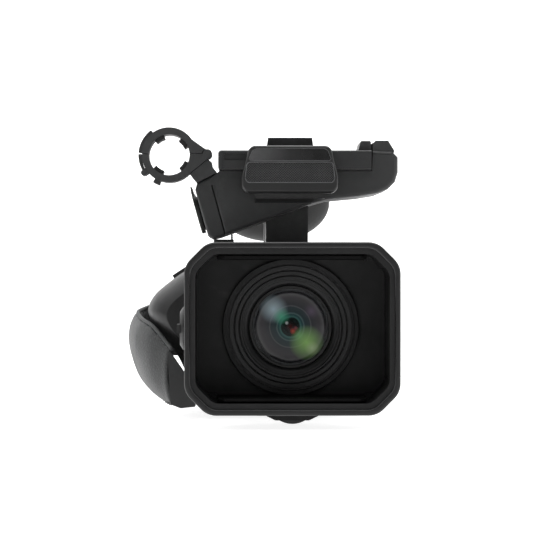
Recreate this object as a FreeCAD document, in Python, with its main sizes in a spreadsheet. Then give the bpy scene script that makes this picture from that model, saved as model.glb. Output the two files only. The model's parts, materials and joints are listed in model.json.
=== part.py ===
import FreeCAD, Part
import os
import math
import Sketcher
from FreeCAD import Vector, Placement, Rotation

# Hand-held camcorder of the one-inch class with a box-shaped lens hood, a top
# handle with microphone, a side grip with hand strap and a rear viewfinder.
# Millimetres.  The origin is the mouth of the tripod socket on the flat
# underside.  -Y is the way the lens looks, +Z is up, +X is the operator's left.

os.makedirs("parts", exist_ok=True)
doc = FreeCAD.newDocument("camcorder")
sheet = doc.addObject("Spreadsheet::Sheet", "dims")
NODES = []
ROW = [0]


class D:
    """A length that carries its value and the sheet expression behind it."""

    def __init__(self, v, e=None):
        self.v = float(v)
        self.e = e

    @staticmethod
    def of(q):
        return q if isinstance(q, D) else D(q)

    def text(self):
        return self.e if self.e else repr(round(self.v, 5))

    def join(self, other, sign, value):
        other = D.of(other)
        if self.e is None and other.e is None:
            return D(value)
        return D(value, "(%s %s %s)" % (self.text(), sign, other.text()))

    def __add__(self, o):
        return self.join(o, "+", self.v + D.of(o).v)

    def __radd__(self, o):
        return D.of(o) + self

    def __sub__(self, o):
        return self.join(o, "-", self.v - D.of(o).v)

    def __rsub__(self, o):
        return D.of(o) - self

    def __mul__(self, o):
        return self.join(o, "*", self.v * D.of(o).v)

    def __rmul__(self, o):
        return D.of(o) * self

    def __truediv__(self, o):
        return self.join(o, "/", self.v / D.of(o).v)

    def __neg__(self):
        return D(-self.v, "(0 - %s)" % self.e) if self.e else D(-self.v)


def num(q):
    return q.v if isinstance(q, D) else float(q)


def param(name, value):
    ROW[0] += 1
    r = ROW[0]
    sheet.set("A%d" % r, name)
    sheet.set("B%d" % r, repr(float(value)))
    sheet.setAlias("B%d" % r, name)
    return D(value, "dims." + name)


def setp(obj, prop, q):
    if "." not in prop:
        setattr(obj, prop, num(q))
    if isinstance(q, D) and q.e:
        obj.setExpression(prop, q.e)


def place(obj, x=0, y=0, z=0, axis=None, angle=0.0):
    rot = Rotation(Vector(*axis), angle) if axis else Rotation()
    obj.Placement = Placement(Vector(num(x), num(y), num(z)), rot)
    for key, q in (("x", x), ("y", y), ("z", z)):
        if isinstance(q, D) and q.e:
            obj.setExpression("Placement.Base." + key, q.e)
    return obj


COUNT = [0]


def fresh(stem):
    COUNT[0] += 1
    return "%s_%03d" % (stem, COUNT[0])


def new_body(stem="body"):
    return doc.addObject("PartDesign::Body", fresh(stem))


def origin_plane(body, role):
    for f in body.Origin.OriginFeatures:
        if f.Role == role:
            return f
    raise ValueError(role)


def sketch_on(body, role, offset=0.0):
    sk = body.newObject("Sketcher::SketchObject", fresh("sketch"))
    sk.AttachmentSupport = [(origin_plane(body, role), "")]
    sk.MapMode = "FlatFace"
    off = D.of(offset)
    sk.AttachmentOffset = Placement(Vector(0, 0, off.v), Rotation())
    if off.e:
        sk.setExpression("AttachmentOffset.Base.z", off.e)
    return sk


def pin(sk, kind, args, q):
    idx = sk.addConstraint(Sketcher.Constraint(kind, *args, num(q)))
    if isinstance(q, D) and q.e:
        sk.setExpression("Constraints[%d]" % idx, q.e)


def draw_polygon(sk, pts):
    first = sk.GeometryCount
    n = len(pts)
    for i in range(n):
        a, c = pts[i], pts[(i + 1) % n]
        sk.addGeometry(Part.LineSegment(Vector(num(a[0]), num(a[1]), 0),
                                        Vector(num(c[0]), num(c[1]), 0)), False)
    for i in range(n):
        sk.addConstraint(Sketcher.Constraint("Coincident", first + i, 2, first + (i + 1) % n, 1))
    for i in range(n):
        pin(sk, "DistanceX", (-1, 1, first + i, 1), pts[i][0])
        pin(sk, "DistanceY", (-1, 1, first + i, 1), pts[i][1])


def draw_circle(sk, cx, cy, r):
    first = sk.GeometryCount
    sk.addGeometry(Part.Circle(Vector(num(cx), num(cy), 0), Vector(0, 0, 1), num(r)), False)
    pin(sk, "DistanceX", (-1, 1, first, 3), cx)
    pin(sk, "DistanceY", (-1, 1, first, 3), cy)
    pin(sk, "Radius", (first,), r)


def draw_spline(sk, pts):
    curve = Part.BSplineCurve()
    curve.interpolate([Vector(num(p[0]), num(p[1]), 0) for p in pts], PeriodicFlag=True)
    sk.addGeometry(curve, False)


ROLE = {"x": "YZ_Plane", "y": "XZ_Plane", "z": "XY_Plane"}


def prism(axis, pts, lo, hi, fillet=None, edges=None, holes=(), circles=()):
    """A padded outline.  axis x: points are (y, z); y: (x, z); z: (x, y).
    The pad runs from lo to hi along the axis; fillet rounds the edges that
    run along the pad (all of them, or the corners listed in edges)."""
    body = new_body("prism")
    lo, hi = D.of(lo), D.of(hi)
    start = (-hi) if axis == "y" else lo
    sk = sketch_on(body, ROLE[axis], start)
    draw_polygon(sk, pts)
    for h in holes:
        draw_polygon(sk, h)
    for c in circles:
        draw_circle(sk, *c)
    pad = body.newObject("PartDesign::Pad", fresh("pad"))
    pad.Profile = sk
    setp(pad, "Length", hi - lo)
    if fillet is not None:
        doc.recompute()
        picked = []
        for i, e in enumerate(pad.Shape.Edges, 1):
            if e.Curve.TypeId != "Part::GeomLine":
                continue
            d = e.tangentAt(e.FirstParameter)
            comp = {"x": d.x, "y": d.y, "z": d.z}[axis]
            if abs(comp) < 0.99:
                continue
            p = e.valueAt(e.FirstParameter)
            uv = {"x": (p.y, p.z), "y": (p.x, p.z), "z": (p.x, p.y)}[axis]
            if edges is not None:
                if not any(math.hypot(uv[0] - num(pts[k][0]), uv[1] - num(pts[k][1])) < 0.05 for k in edges):
                    continue
            elif not any(math.hypot(uv[0] - num(q[0]), uv[1] - num(q[1])) < 0.05 for q in pts):
                continue
            picked.append("Edge%d" % i)
        fl = body.newObject("PartDesign::Fillet", fresh("fillet"))
        fl.Base = (pad, picked)
        setp(fl, "Radius", fillet)
    pad.Visibility = False
    return body


def round_all(body, radius, pick):
    """Round or bevel the edges for which pick(edge) is true."""
    doc.recompute()
    tip = body.Tip
    picked = ["Edge%d" % i for i, e in enumerate(tip.Shape.Edges, 1) if pick(e)]
    if not picked:
        raise ValueError("no edge picked")
    fl = body.newObject("PartDesign::Fillet", fresh("fillet"))
    fl.Base = (tip, picked)
    setp(fl, "Radius", radius)
    return body


def bevel_all(body, size, pick):
    doc.recompute()
    tip = body.Tip
    picked = ["Edge%d" % i for i, e in enumerate(tip.Shape.Edges, 1) if pick(e)]
    if not picked:
        raise ValueError("no edge picked")
    ch = body.newObject("PartDesign::Chamfer", fresh("chamfer"))
    ch.Base = (tip, picked)
    setp(ch, "Size", size)
    return body


def on_plane(axis, value, tol=0.05):
    """Edges that lie flat in the plane axis = value."""
    value = num(value)

    def test(e):
        box = e.BoundBox
        lo = {"x": box.XMin, "y": box.YMin, "z": box.ZMin}[axis]
        hi = {"x": box.XMax, "y": box.YMax, "z": box.ZMax}[axis]
        return abs(lo - value) < tol and abs(hi - value) < tol
    return test


def both(*tests):
    return lambda e: all(t(e) for t in tests)


def outer_than(cx, cz, r):
    """Edges whose middle is farther than r from the line (cx, *, cz)."""
    def test(e):
        p = e.valueAt((e.FirstParameter + e.LastParameter) / 2)
        return math.hypot(p.x - num(cx), p.z - num(cz)) > num(r)
    return test


def turned(pts, z0=0.0, x0=0.0, bump=None):
    """Ring or disc turned about an axis along Y; pts are (y, r)."""
    body = new_body("turned")
    sk = sketch_on(body, "YZ_Plane")
    draw_polygon(sk, pts)
    rev = body.newObject("PartDesign::Revolution", fresh("turn"))
    rev.Profile = sk
    rev.ReferenceAxis = (sk, ["H_Axis"])
    rev.Angle = 360.0
    place(body, x0, 0, z0)
    return body


def box(x0, x1, y0, y1, z0, z1):
    b = doc.addObject("Part::Box", fresh("block"))
    x0, x1, y0, y1, z0, z1 = [D.of(q) for q in (x0, x1, y0, y1, z0, z1)]
    setp(b, "Length", x1 - x0)
    setp(b, "Width", y1 - y0)
    setp(b, "Height", z1 - z0)
    place(b, x0, y0, z0)
    return b


AXROT = {"z": None, "x": ((0, 1, 0), 90.0), "y": ((1, 0, 0), -90.0)}


def cyl(axis, a, b, lo, hi, r):
    """Cylinder along an axis; (a, b) are the two other coordinates."""
    c = doc.addObject("Part::Cylinder", fresh("round"))
    lo, hi = D.of(lo), D.of(hi)
    setp(c, "Radius", D.of(r))
    setp(c, "Height", hi - lo)
    pos = {"x": (lo, a, b), "y": (a, lo, b), "z": (a, b, lo)}[axis]
    rot = AXROT[axis]
    if rot:
        place(c, pos[0], pos[1], pos[2], rot[0], rot[1])
    else:
        place(c, pos[0], pos[1], pos[2])
    return c


def cone(axis, a, b, lo, hi, r_lo, r_hi):
    c = doc.addObject("Part::Cone", fresh("taper"))
    lo, hi = D.of(lo), D.of(hi)
    setp(c, "Radius1", D.of(r_lo))
    setp(c, "Radius2", D.of(r_hi))
    setp(c, "Height", hi - lo)
    pos = {"x": (lo, a, b), "y": (a, lo, b), "z": (a, b, lo)}[axis]
    rot = AXROT[axis]
    if rot:
        place(c, pos[0], pos[1], pos[2], rot[0], rot[1])
    else:
        place(c, pos[0], pos[1], pos[2])
    return c


def free_cyl(point, direction, length, r):
    """Cylinder from a point along any direction."""
    c = doc.addObject("Part::Cylinder", fresh("pin"))
    setp(c, "Radius", D.of(r))
    setp(c, "Height", D.of(length))
    c.Placement = Placement(Vector(*[num(q) for q in point]),
                            Rotation(Vector(0, 0, 1), Vector(*direction)))
    return c


def cut(base, *tools):
    out = base
    for t in tools:
        c = doc.addObject("Part::Cut", fresh("cut"))
        c.Base = out
        c.Tool = t
        out = c
    return out


def fuse(*items):
    if len(items) == 1:
        return items[0]
    f = doc.addObject("Part::MultiFuse", fresh("union"))
    f.Shapes = list(items)
    f.Refine = True
    return f


def common(*items):
    c = doc.addObject("Part::MultiCommon", fresh("overlap"))
    c.Shapes = list(items)
    return c


def gather(*items):
    """Separate solids kept together in one node."""
    c = doc.addObject("Part::Compound", fresh("set"))
    c.Links = list(items)
    return c


def round_part(base, radius, pick):
    """Round edges of a boolean result."""
    doc.recompute()
    ids = [i for i, e in enumerate(base.Shape.Edges, 1) if pick(e)]
    if not ids:
        raise ValueError("no edge picked")
    f = doc.addObject("Part::Fillet", fresh("rounded"))
    f.Base = base
    f.Edges = [(i, num(radius), num(radius)) for i in ids]
    return f


def bevel_part(base, size, pick):
    doc.recompute()
    ids = [i for i, e in enumerate(base.Shape.Edges, 1) if pick(e)]
    if not ids:
        raise ValueError("no edge picked")
    f = doc.addObject("Part::Chamfer", fresh("bevelled"))
    f.Base = base
    f.Edges = [(i, num(size), num(size)) for i in ids]
    return f


def lofted(axis, sections, smooth=True, ruled=False):
    """Skin through outlines; sections are (position, points)."""
    body = new_body("skin")
    sks = []
    for pos, pts in sections:
        pos = D.of(pos)
        sk = sketch_on(body, ROLE[axis], (-pos) if axis == "y" else pos)
        if smooth:
            draw_spline(sk, pts)
        else:
            draw_polygon(sk, pts)
        sks.append(sk)
    lf = body.newObject("PartDesign::AdditiveLoft", fresh("skin"))
    lf.Profile = sks[0]
    lf.Sections = [(s, [""]) for s in sks[1:]]
    lf.Ruled = ruled
    return body


def node(name, obj):
    obj.Label = name
    NODES.append((name, obj))
    return obj


def ring_points(cx, cz, r, a0, a1, n):
    out = []
    for i in range(n + 1):
        a = math.radians(a0 + (a1 - a0) * i / n)
        out.append((cx + r * math.cos(a), cz + r * math.sin(a)))
    return out


def sector(cx, cz, r_in, r_out, a0, a1, lo, hi, n=12):
    """Part of a ring about an axis along Y, between two angles."""
    a0, a1 = float(a0), float(a1)
    big = num(r_out) * 1.8
    wedge = [(cx, cz)] + ring_points(num(cx), num(cz), big, a0, a1, max(2, int(abs(a1 - a0) / 30)))
    ring = cut(cyl("y", cx, cz, lo, hi, r_out),
               cyl("y", cx, cz, D.of(lo) - 1, D.of(hi) + 1, r_in))
    return common(ring, prism("y", wedge, lo, hi))

# ---------------------------------------------------------------- sizes
LZ = param("lens_axis_height", 60.8)
HW = param("hood_width", 130.2)
HH = param("hood_height", 104.4)
HC = param("hood_corner", 14.0)
HF = param("hood_front_y", -165.0)
HR = param("hood_rear_y", -107.0)
HWALL = param("hood_wall", 5.0)
LB = param("barrel_radius", 43.0)
LRUN = param("running_gap", 0.06)
RING = param("ring_bore", 43.06)
FTR = param("filter_thread_radius", 30.5)
SOCK = param("tripod_socket_radius", 2.55)
BT = param("shell_wall", 2.5)
BL = param("body_left_x", -46.0)
BR = param("body_right_x", 52.0)
BF = param("body_front_y", -26.0)
BB = param("body_back_y", 128.0)
CLX = param("clamp_x", -76.3)
CLZ = param("clamp_z", 169.1)
CLR = param("clamp_bore", 12.9)
CLO = param("clamp_outside", 17.3)
VZ = param("finder_hinge_z", 158.0)
VY = param("finder_hinge_y", 112.0)
LHX = param("screen_hinge_x", 60.3)
LHZ = param("screen_hinge_z", 175.0)


def octo(w, h, c, zc):
    """Rectangle with bevelled corners about (0, zc)."""
    w2, h2 = D.of(w) / 2, D.of(h) / 2
    zc = D.of(zc)
    return [(-w2, zc - h2 + c), (-w2 + c, zc - h2), (w2 - c, zc - h2), (w2, zc - h2 + c),
            (w2, zc + h2 - c), (w2 - c, zc + h2), (-w2 + c, zc + h2), (-w2, zc + h2 - c)]


# ---------------------------------------------------------------- lens hood
# soft rim round the mouth
trim = prism("y", octo(HW, HH, HC, LZ), HF, HF + 8, fillet=13.0)
trim = bevel_all(trim, 1.0, on_plane("y", HF))
trim_hole = prism("y", octo(HW - 6.4, HH - 6.4, HC - 1.3, LZ), HF - 1, HF + 9, fillet=11.2)
node("hood_trim", cut(trim, trim_hole))

# hood shell: front lip inside the rim, box walls, back wall, collar on the lens
lip = prism("y", octo(HW - 6.6, HH - 6.6, HC - 1.3, LZ), HF + 1.5, HF + 9, fillet=11.0)
hmain = prism("y", octo(HW - 3.2, HH - 3.4, HC - 0.5, LZ), HF + 8, HR, fillet=13.0)
hmain = round_all(hmain, 4.0, on_plane("y", HR))
rear_cone = cone("y", 0, LZ, HR - 1, -98.0, 50.0, 46.5)
collar = cyl("y", 0, LZ, -98.5, -95.5, 46.5)
fairing = prism("y", [(-18.5, 14), (-15.5, 5.5), (-9.5, 2.6), (11.5, 2.6), (17.5, 5.5), (20.5, 14), (20.5, 26), (-18.5, 26)],
                -109.0, -95.5, fillet=2.0, edges=[0, 1, 2, 3, 4, 5])
fairing = round_all(fairing, 2.0, both(on_plane("y", -95.5), lambda e: e.BoundBox.ZMax < 20))
solid = fuse(lip, hmain, rear_cone, collar, fairing)
cavity = prism("y", octo(117.0, 90.0, 11.0, LZ), HF - 1, HR - 3, fillet=9.0)
bore_out = cyl("y", 0, LZ, HR - 7, HR + 1, 39.7)
bore_in = cyl("y", 0, LZ, HR, -95.0, 41.9)
knob_hole = cyl("x", -128.0, LZ - 0.4, -64.5, -60.8, 3.0)
btn_pocket = box(-7.4, 9.4, -107.4, -97.2, 2.0, 8.4)
btn_mouth = box(-11.3, 13.3, -108.3, -96.7, 1.0, 6.9)
shell = cut(solid, cavity, bore_out, bore_in, knob_hole, btn_mouth, btn_pocket)
# raised ring round the opening in the back wall
raised = turned([(HR - 6, 39.7), (HR - 2.5, 39.7), (HR - 2.5, 42.6), (HR - 5.4, 42.6), (HR - 6, 42.0)], z0=LZ)
# hinge lugs for the two shutter blades, on the side walls
lugs = []
for sx in (-1, 1):
    for zc in (104.0, 17.6):
        a, b = (46.0, 51.6)
        x0, x1 = (a, b) if sx > 0 else (-b, -a)
        lugs.append(box(x0, x1, -119.0, -109.5, zc - 2.0, zc + 2.0))
pin_bores = [cyl("x", -117.0, zc, -49.2, 49.2, 1.25) for zc in (104.0, 17.6)]
knuckle_room = [cyl("x", -117.0, zc, -45.6, 45.6, 1.9) for zc in (104.0, 17.6)]
node("hood_shell", cut(fuse(shell, raised, *lugs), *(pin_bores + knuckle_room)))

# lens shutter: two blades that fold flat against the roof and the floor
for nm, zb, zt, zh in (("shutter_upper", 103.0, 104.6, 104.0), ("shutter_lower", 17.0, 18.6, 17.6)):
    blade = prism("z", [(-45.0, -117.0), (-45.0, -156.0), (-41.0, -160.0), (41.0, -160.0), (45.0, -156.0), (45.0, -117.0)],
                  zb, zt)
    knuckle = cyl("x", -117.0, zh, -45.0, 45.0, 1.5)
    pin_rod = cyl("x", -117.0, zh, -48.8, 48.8, 1.2)
    node(nm, fuse(blade, knuckle, pin_rod))

# round lever knob on the side of the hood
knob_dome = cone("x", -128.0, LZ - 0.4, -68.4, -66.4, 10.2, 13.2)
knob_disc = cyl("x", -128.0, LZ - 0.4, -66.4, -63.6, 13.2)
knob_grip = box(-70.2, -68.0, -139.0, -117.0, LZ - 3.0, LZ + 2.2)
knob_stub = cyl("x", -128.0, LZ - 0.4, -63.8, -61.0, 2.95)
node("shutter_knob", fuse(knob_disc, knob_dome, knob_grip, knob_stub))

# release button under the rear of the hood
seg = common(cyl("y", 1.0, 16.4, -108.0, -97.0, 16.0), box(-15.5, 17.5, -109, -96, 0.4, 5.4))
neck = box(-7.0, 9.0, -107.0, -97.6, 5.2, 6.9)
node("hood_release_button", fuse(seg, neck))

# ---------------------------------------------------------------- lens
# barrel with flanges between the three control rings
barrel = turned([(-106.5, 36.0), (-106.5, 41.5), (-95.0, 41.5), (-95.0, 45.5), (-93.5, 45.5), (-93.5, LB),
                 (-65.5, LB), (-65.5, 45.5), (-62.5, 45.5), (-62.5, LB), (-43.5, LB), (-43.5, 45.5),
                 (-41.0, 45.5), (-41.0, LB), (-28.5, LB), (-28.5, 45.5), (-26.0, 45.5), (-26.0, LB), (-20.0, LB), (-20.0, 36.0)], z0=LZ)
node("lens_barrel", barrel)


def control_ring(y0, y1, r_low, r_high, ribs, rib_deep, z0):
    """Grip ring with grooves cut across its crown."""
    body = turned([(y0, RING), (y1, RING), (y1, r_low), (y1 - 2.0, r_high), (y0 + 2.0, r_high), (y0, r_low)], z0=z0)
    tip = body.Tip
    sk = sketch_on(body, "XZ_Plane", -(y1 - 2.4))
    a = 1.1
    draw_polygon(sk, [(-a, r_high - rib_deep), (a, r_high - rib_deep), (a, r_high + 1.0), (-a, r_high + 1.0)])
    doc.recompute()
    before = body.Shape.Volume
    pk = body.newObject("PartDesign::Pocket", fresh("groove"))
    pk.Profile = sk
    pk.Length = (y1 - y0) - 4.8
    pk.Reversed = False
    doc.recompute()
    if body.Shape.Volume > before - 0.5:
        pk.Reversed = True
        doc.recompute()
    pat = body.newObject("PartDesign::PolarPattern", fresh("grooves"))
    pat.Originals = [pk]
    pat.Axis = (sk, ["N_Axis"])
    pat.Angle = 360.0
    pat.Occurrences = ribs
    body.Tip = pat
    return body


node("focus_ring", control_ring(-93.0, -66.0, 47.0, 48.0, 60, 0.8, LZ))
node("zoom_ring", control_ring(-62.0, -44.0, 46.6, 47.5, 48, 0.7, LZ))
node("iris_ring", control_ring(-40.5, -29.0, 46.2, 47.0, 48, 0.7, LZ))

# threaded filter ring, glass and the black cell that holds it
node("filter_ring", turned([(-111.0, FTR), (-111.0, 31.7), (-110.2, 31.9), (-110.2, 32.3), (-111.0, 32.5), (-111.0, 34.8), (-110.2, 35.0), (-110.2, 35.4),
                            (-111.0, 35.6), (-111.0, 38.3), (-106.6, 38.3), (-106.6, 35.9), (-96.2, 35.9),
                            (-96.2, 26.2), (-105.4, 26.2), (-106.6, 27.4), (-107.0, 28.9), (-107.5, 29.1), (-107.5, FTR)], z0=LZ))
dome = [(-106.4 + 3.0 * (r / 23.9) ** 2, r) for r in (0.0, 4.0, 8.0, 12.0, 16.0, 20.0, 23.9)]
node("front_lens_element", turned(dome + [(-100.5, 23.9), (-100.5, 22.4), (-101.7, 12.0), (-102.1, 0.0)], z0=LZ))
node("lens_cell", turned([(-105.1, 24.0), (-100.5, 24.0), (-100.5, 22.5), (-94.0, 20.0), (-94.0, 19.0), (-88.5, 17.0), (-88.5, 16.2), (-84.2, 14.5),
                          (-84.2, 13.9), (-80.0, 13.9), (-80.0, 13.2), (-76.0, 10.2), (-76.0, 10.05), (-72.0, 10.05),
                          (-72.0, 9.0), (-70.0, 6.8), (-62.0, 6.8), (-58.0, 10.5), (-58.0, 12.1), (-54.0, 12.1),
                          (-54.0, 35.9), (-96.1, 35.9), (-96.1, 26.1), (-104.6, 26.1), (-105.1, 25.6)], z0=LZ))
el1 = turned([(-87.0, 0.0), (-86.6, 5.0), (-85.4, 10.0), (-84.2, 13.8), (-80.0, 13.8), (-80.4, 8.0), (-80.6, 0.0)], z0=LZ)
el2 = turned([(-77.2, 0.0), (-76.8, 5.0), (-76.0, 10.0), (-72.0, 10.0), (-72.0, 0.0)], z0=LZ)
el3 = turned([(-58.0, 0.0), (-58.0, 12.0), (-54.3, 12.0), (-53.2, 6.0), (-52.8, 0.0)], z0=LZ)
node("inner_lens_elements", gather(el1, el2, el3))
node("image_sensor", fuse(box(-11, 11, -15.2, -13.2, LZ - 9, LZ + 9), box(-18, 18, -13.2, -11.4, LZ - 16, LZ + 16),
                          box(-6.6, 6.6, -15.8, -15.0, LZ - 4.4, LZ + 4.4)))
board = box(-36, 42, 4, 112, 22.0, 23.6)
chips = [box(-20, 8, 30, 58, 23.4, 26.4), box(14, 32, 24, 42, 23.4, 25.4), box(14, 34, 60, 84, 23.4, 27.4),
         box(-28, -10, 72, 98, 23.4, 25.8), cyl("z", 30, 98, 23.4, 32.0, 5.0), cyl("z", 18, 98, 23.4, 32.0, 4.0)]
node("main_board", fuse(board, *chips))

# ---------------------------------------------------------------- camera body
OCT = [(BL, 20), (BL + 8, 8), (BR - 10, 8), (BR, 18), (BR, 98), (BR - 8, 108), (BL + 10, 108), (BL, 98)]
OIN = [(BL + BT, 21), (BL + 9.4, 8 + BT), (BR - 11.2, 8 + BT), (BR - BT, 19), (BR - BT, 97), (BR - 9.2, 108 - BT),
       (BL + 11.2, 108 - BT), (BL + BT, 97)]


def cover_screw(x, y, z, side):
    """Boss, hole and screw on a side wall; side is +1 for the +X wall."""
    inner = x - side * 9.0
    lo, hi = (inner, x - side * 1.0) if side > 0 else (x - side * 1.0, inner)
    boss = cyl("x", y, z, lo, hi, 3.6)
    d0, d1 = (x - 2.2, x + 0.5) if side > 0 else (x - 0.5, x + 2.2)
    bore = cyl("x", y, z, d0, d1, 2.3)
    s0, s1 = (x - 7.0, x - 2.0) if side > 0 else (x + 2.0, x + 7.0)
    thread = cyl("x", y, z, s0, s1, 1.15)
    h0, h1 = (x - 2.1, x - 0.4) if side > 0 else (x + 0.4, x + 2.1)
    head = cyl("x", y, z, h0, h1, 2.2)
    shank = cyl("x", y, z, x - 6.6 if side > 0 else x + 2.0, x - 2.0 if side > 0 else x + 6.6, 1.05)
    k0, k1 = (x - 1.4, x) if side > 0 else (x, x + 1.4)
    slot_a = box(k0, k1, y - 1.3, y + 1.3, z - 0.3, z + 0.3)
    slot_b = box(k0, k1, y - 0.3, y + 0.3, z - 1.3, z + 1.3)
    return boss, bore, thread, cut(fuse(head, shank), slot_a, slot_b)


screws = []
halves = {}
for side, nm, x0, x1 in ((1, "body_cover_left", 3.0, 60.0), (-1, "body_cover_right", -60.0, 3.0)):
    outer = prism("y", OCT, BF, BB, fillet=5.0)
    outer = round_all(outer, 2.0, on_plane("y", BF))
    inner = prism("y", OIN, BF + BT, BB + 1, fillet=3.0)
    half = cut(common(outer, box(x0, x1, BF - 1, BB + 1, 0, 120)), inner, cyl("y", 0, LZ, BF - 1, BF + 4, LB + 0.02))
    wall = 52.0 if side > 0 else -46.0
    adds, bores = [], []
    spots = ((-14.0, 30.0), (-14.0, 90.0), (122.0, 30.0), (122.0, 90.0)) if side > 0 else ((122.0, 90.0), (122.0, 30.0))
    for (sy, sz) in spots:
        boss, bore, thread, screw = cover_screw(wall, sy, sz, side)
        adds.append(common(boss, prism("y", OCT, BF, BB)))
        bores += [bore, thread]
        screws.append(screw)
    halves[nm] = (half, adds, bores)

# left cover (+X): recesses for the audio knobs, dial, switch and buttons
half, adds, bores = halves["body_cover_left"]
seat = box(44.0, 50.0, 77.0, 121.0, 43.0, 95.0)
left = fuse(half, seat, *adds)
recess = prism("x", [(80, 46), (118, 46), (118, 92), (80, 92)], 46.5, 53.0, fillet=3.0)
hinge_room = box(49.0, 53.0, 80.2, 117.8, 43.9, 47.0)
knob_holes = [cyl("x", 99.0, zc, 43.0, 47.0, 2.06) for zc in (78.0, 60.0)]
dial_hole = cyl("x", 20.0, 40.0, 46.0, 53.0, 2.06)
dial_boss = cyl("x", 20.0, 40.0, 47.0, 50.0, 4.0)
sw_slot = box(46.0, 53.0, 6.0, 10.0, 72.0, 86.0)
btn_holes = [cyl("x", yb, 40.0, 46.0, 53.0, 3.06) for yb in (44.0, 56.0)]
grooves = [box(51.2, 53.0, 30.0, 70.0, zg, zg + 1.2) for zg in (88.0, 91.0, 94.0)]
pin_holes = cyl("y", 51.1, 45.6, 78.4, 119.6, 0.61)
left = cut(fuse(left, dial_boss), recess, hinge_room, pin_holes, dial_hole, sw_slot, *(knob_holes + btn_holes + grooves + bores))
node("body_cover_left", left)

half, adds, bores = halves["body_cover_right"]
vents = [box(-47.0, -45.0, 116.0, 124.0, zg, zg + 1.6) for zg in (50.0, 54.0, 58.0, 62.0, 66.0, 70.0)]
node("body_cover_right", cut(fuse(half, *adds), *(bores + vents)))

# rear panel, with card slots, battery rails and terminal block
panel = prism("y", OCT, BB, BB + 3, fillet=5.0)
panel = round_all(panel, 1.2, on_plane("y", BB + 3))
slots = [box(-38.0, -26.0, BB + 0.6, BB + 4, zc, zc + 2.6) for zc in (48.0, 60.0)]
rails = []
for sx in (-1, 1):
    x0, x1 = (13.0, 15.0) if sx > 0 else (-15.0, -13.0)
    rails.append(box(x0, x1, BB + 2.5, BB + 5.6, 34, 58))
terminal = box(-6, 6, BB + 2.5, BB + 3.3, 30, 36)
knuckles = [fuse(box(-44.4, -41.2, BB + 2.5, BB + 4.8, z0, z1), cyl("z", -42.8, BB + 4.8, z0, z1, 1.7))
            for z0, z1 in ((26.5, 29.8), (80.2, 83.5))]
knuckles = [cut(k, cyl("z", -42.8, BB + 4.8, z0, z1, 0.86)) for k, z0, z1 in
            ((knuckles[0], 26.0, 29.9), (knuckles[1], 80.1, 84.0))]
node("rear_panel", fuse(cut(panel, *slots), terminal, *(rails + knuckles)))

door = prism("y", [(-40.6, 31), (-22, 31), (-22, 79), (-40.6, 79)], BB + 3.3, BB + 5.3, fillet=2.0, edges=[1, 2])
door_knuckle = cyl("z", -42.8, BB + 4.8, 30.0, 80.0, 1.5)
door_web = box(-42.8, -40.0, BB + 3.9, BB + 5.3, 31.0, 79.0)
door_pin = cyl("z", -42.8, BB + 4.8, 27.0, 83.0, 0.8)
door_pull = box(-24.6, -23.2, BB + 5.0, BB + 6.4, 46.0, 64.0)
node("card_door", fuse(door, door_knuckle, door_web, door_pin, door_pull))

pack = prism("z", [(-19.2, BB + 3.4), (19.2, BB + 3.4), (19.2, BB + 42), (-19.2, BB + 42)], 25, 96, fillet=3.0)
pack = round_all(pack, 1.5, on_plane("z", 96))
gr = []
for sx in (-1, 1):
    x0, x1 = (12.7, 15.3) if sx > 0 else (-15.3, -12.7)
    gr.append(box(x0, x1, BB + 3.0, BB + 6.0, 24, 91))
steps = [box(-20, 20, BB + 41.4, BB + 43, zc, zc + 1.2) for zc in (34.0, 84.0)]
node("battery_pack", cut(pack, *(gr + steps)))

# side controls
cover = prism("x", [(80.4, 46.6), (117.6, 46.6), (117.6, 91.6), (80.4, 91.6)], 50.3, 52.0, fillet=2.8)
cover_lip = box(51.8, 53.2, 92.0, 106.0, 89.0, 90.6)
cover_barrel = cyl("y", 51.1, 45.6, 80.6, 117.4, 0.9)
cover_pin = cyl("y", 51.1, 45.6, 78.8, 119.2, 0.55)
cover_web = box(50.4, 51.8, 80.6, 117.4, 45.6, 46.8)
node("audio_cover", fuse(cover, cover_lip, cover_barrel, cover_pin, cover_web))
for k, zc in ((1, 78.0), (2, 60.0)):
    kn = fuse(cyl("x", 99.0, zc, 46.8, 49.4, 6.0), cyl("x", 99.0, zc, 44.4, 47.0, 2.0))
    marks = [box(48.9, 50.0, 98.7, 99.3, zc + 1.0, zc + 5.8)]
    node("audio_knob_%d" % k, cut(kn, *marks))
dial = fuse(cyl("x", 20.0, 40.0, 52.3, 56.3, 9.0), cyl("x", 20.0, 40.0, 48.0, 52.5, 2.0))
dial = cut(dial, *[cyl("x", 20.0 + 9.3 * math.cos(math.radians(a)), 40.0 + 9.3 * math.sin(math.radians(a)), 52.9, 57.0, 0.8)
                   for a in range(0, 360, 20)])
node("menu_dial", dial)
node("nd_switch", fuse(box(48.6, 54.2, 6.3, 9.7, 76.0, 80.0), box(46.2, 48.8, 5.2, 10.8, 74.5, 81.5)))
for k, yb in ((1, 44.0), (2, 56.0)):
    node("assign_button_%d" % k, fuse(cyl("x", yb, 40.0, 48.8, 52.9, 3.0), cyl("x", yb, 40.0, 47.6, 49.0, 3.8)))

# ---------------------------------------------------------------- base plate
base = prism("z", [(-23, -13), (23, -13), (23, 75), (-23, 75)], 0.0, 8.0, fillet=5.0)
base = bevel_all(base, 1.0, on_plane("z", 0))
socket = cyl("z", 0, 0, -1, 7.0, SOCK)
pinhole = cyl("z", 0, 13.0, -1, 4.5, 2.3)
node("base_plate", cut(base, socket, pinhole))

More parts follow.
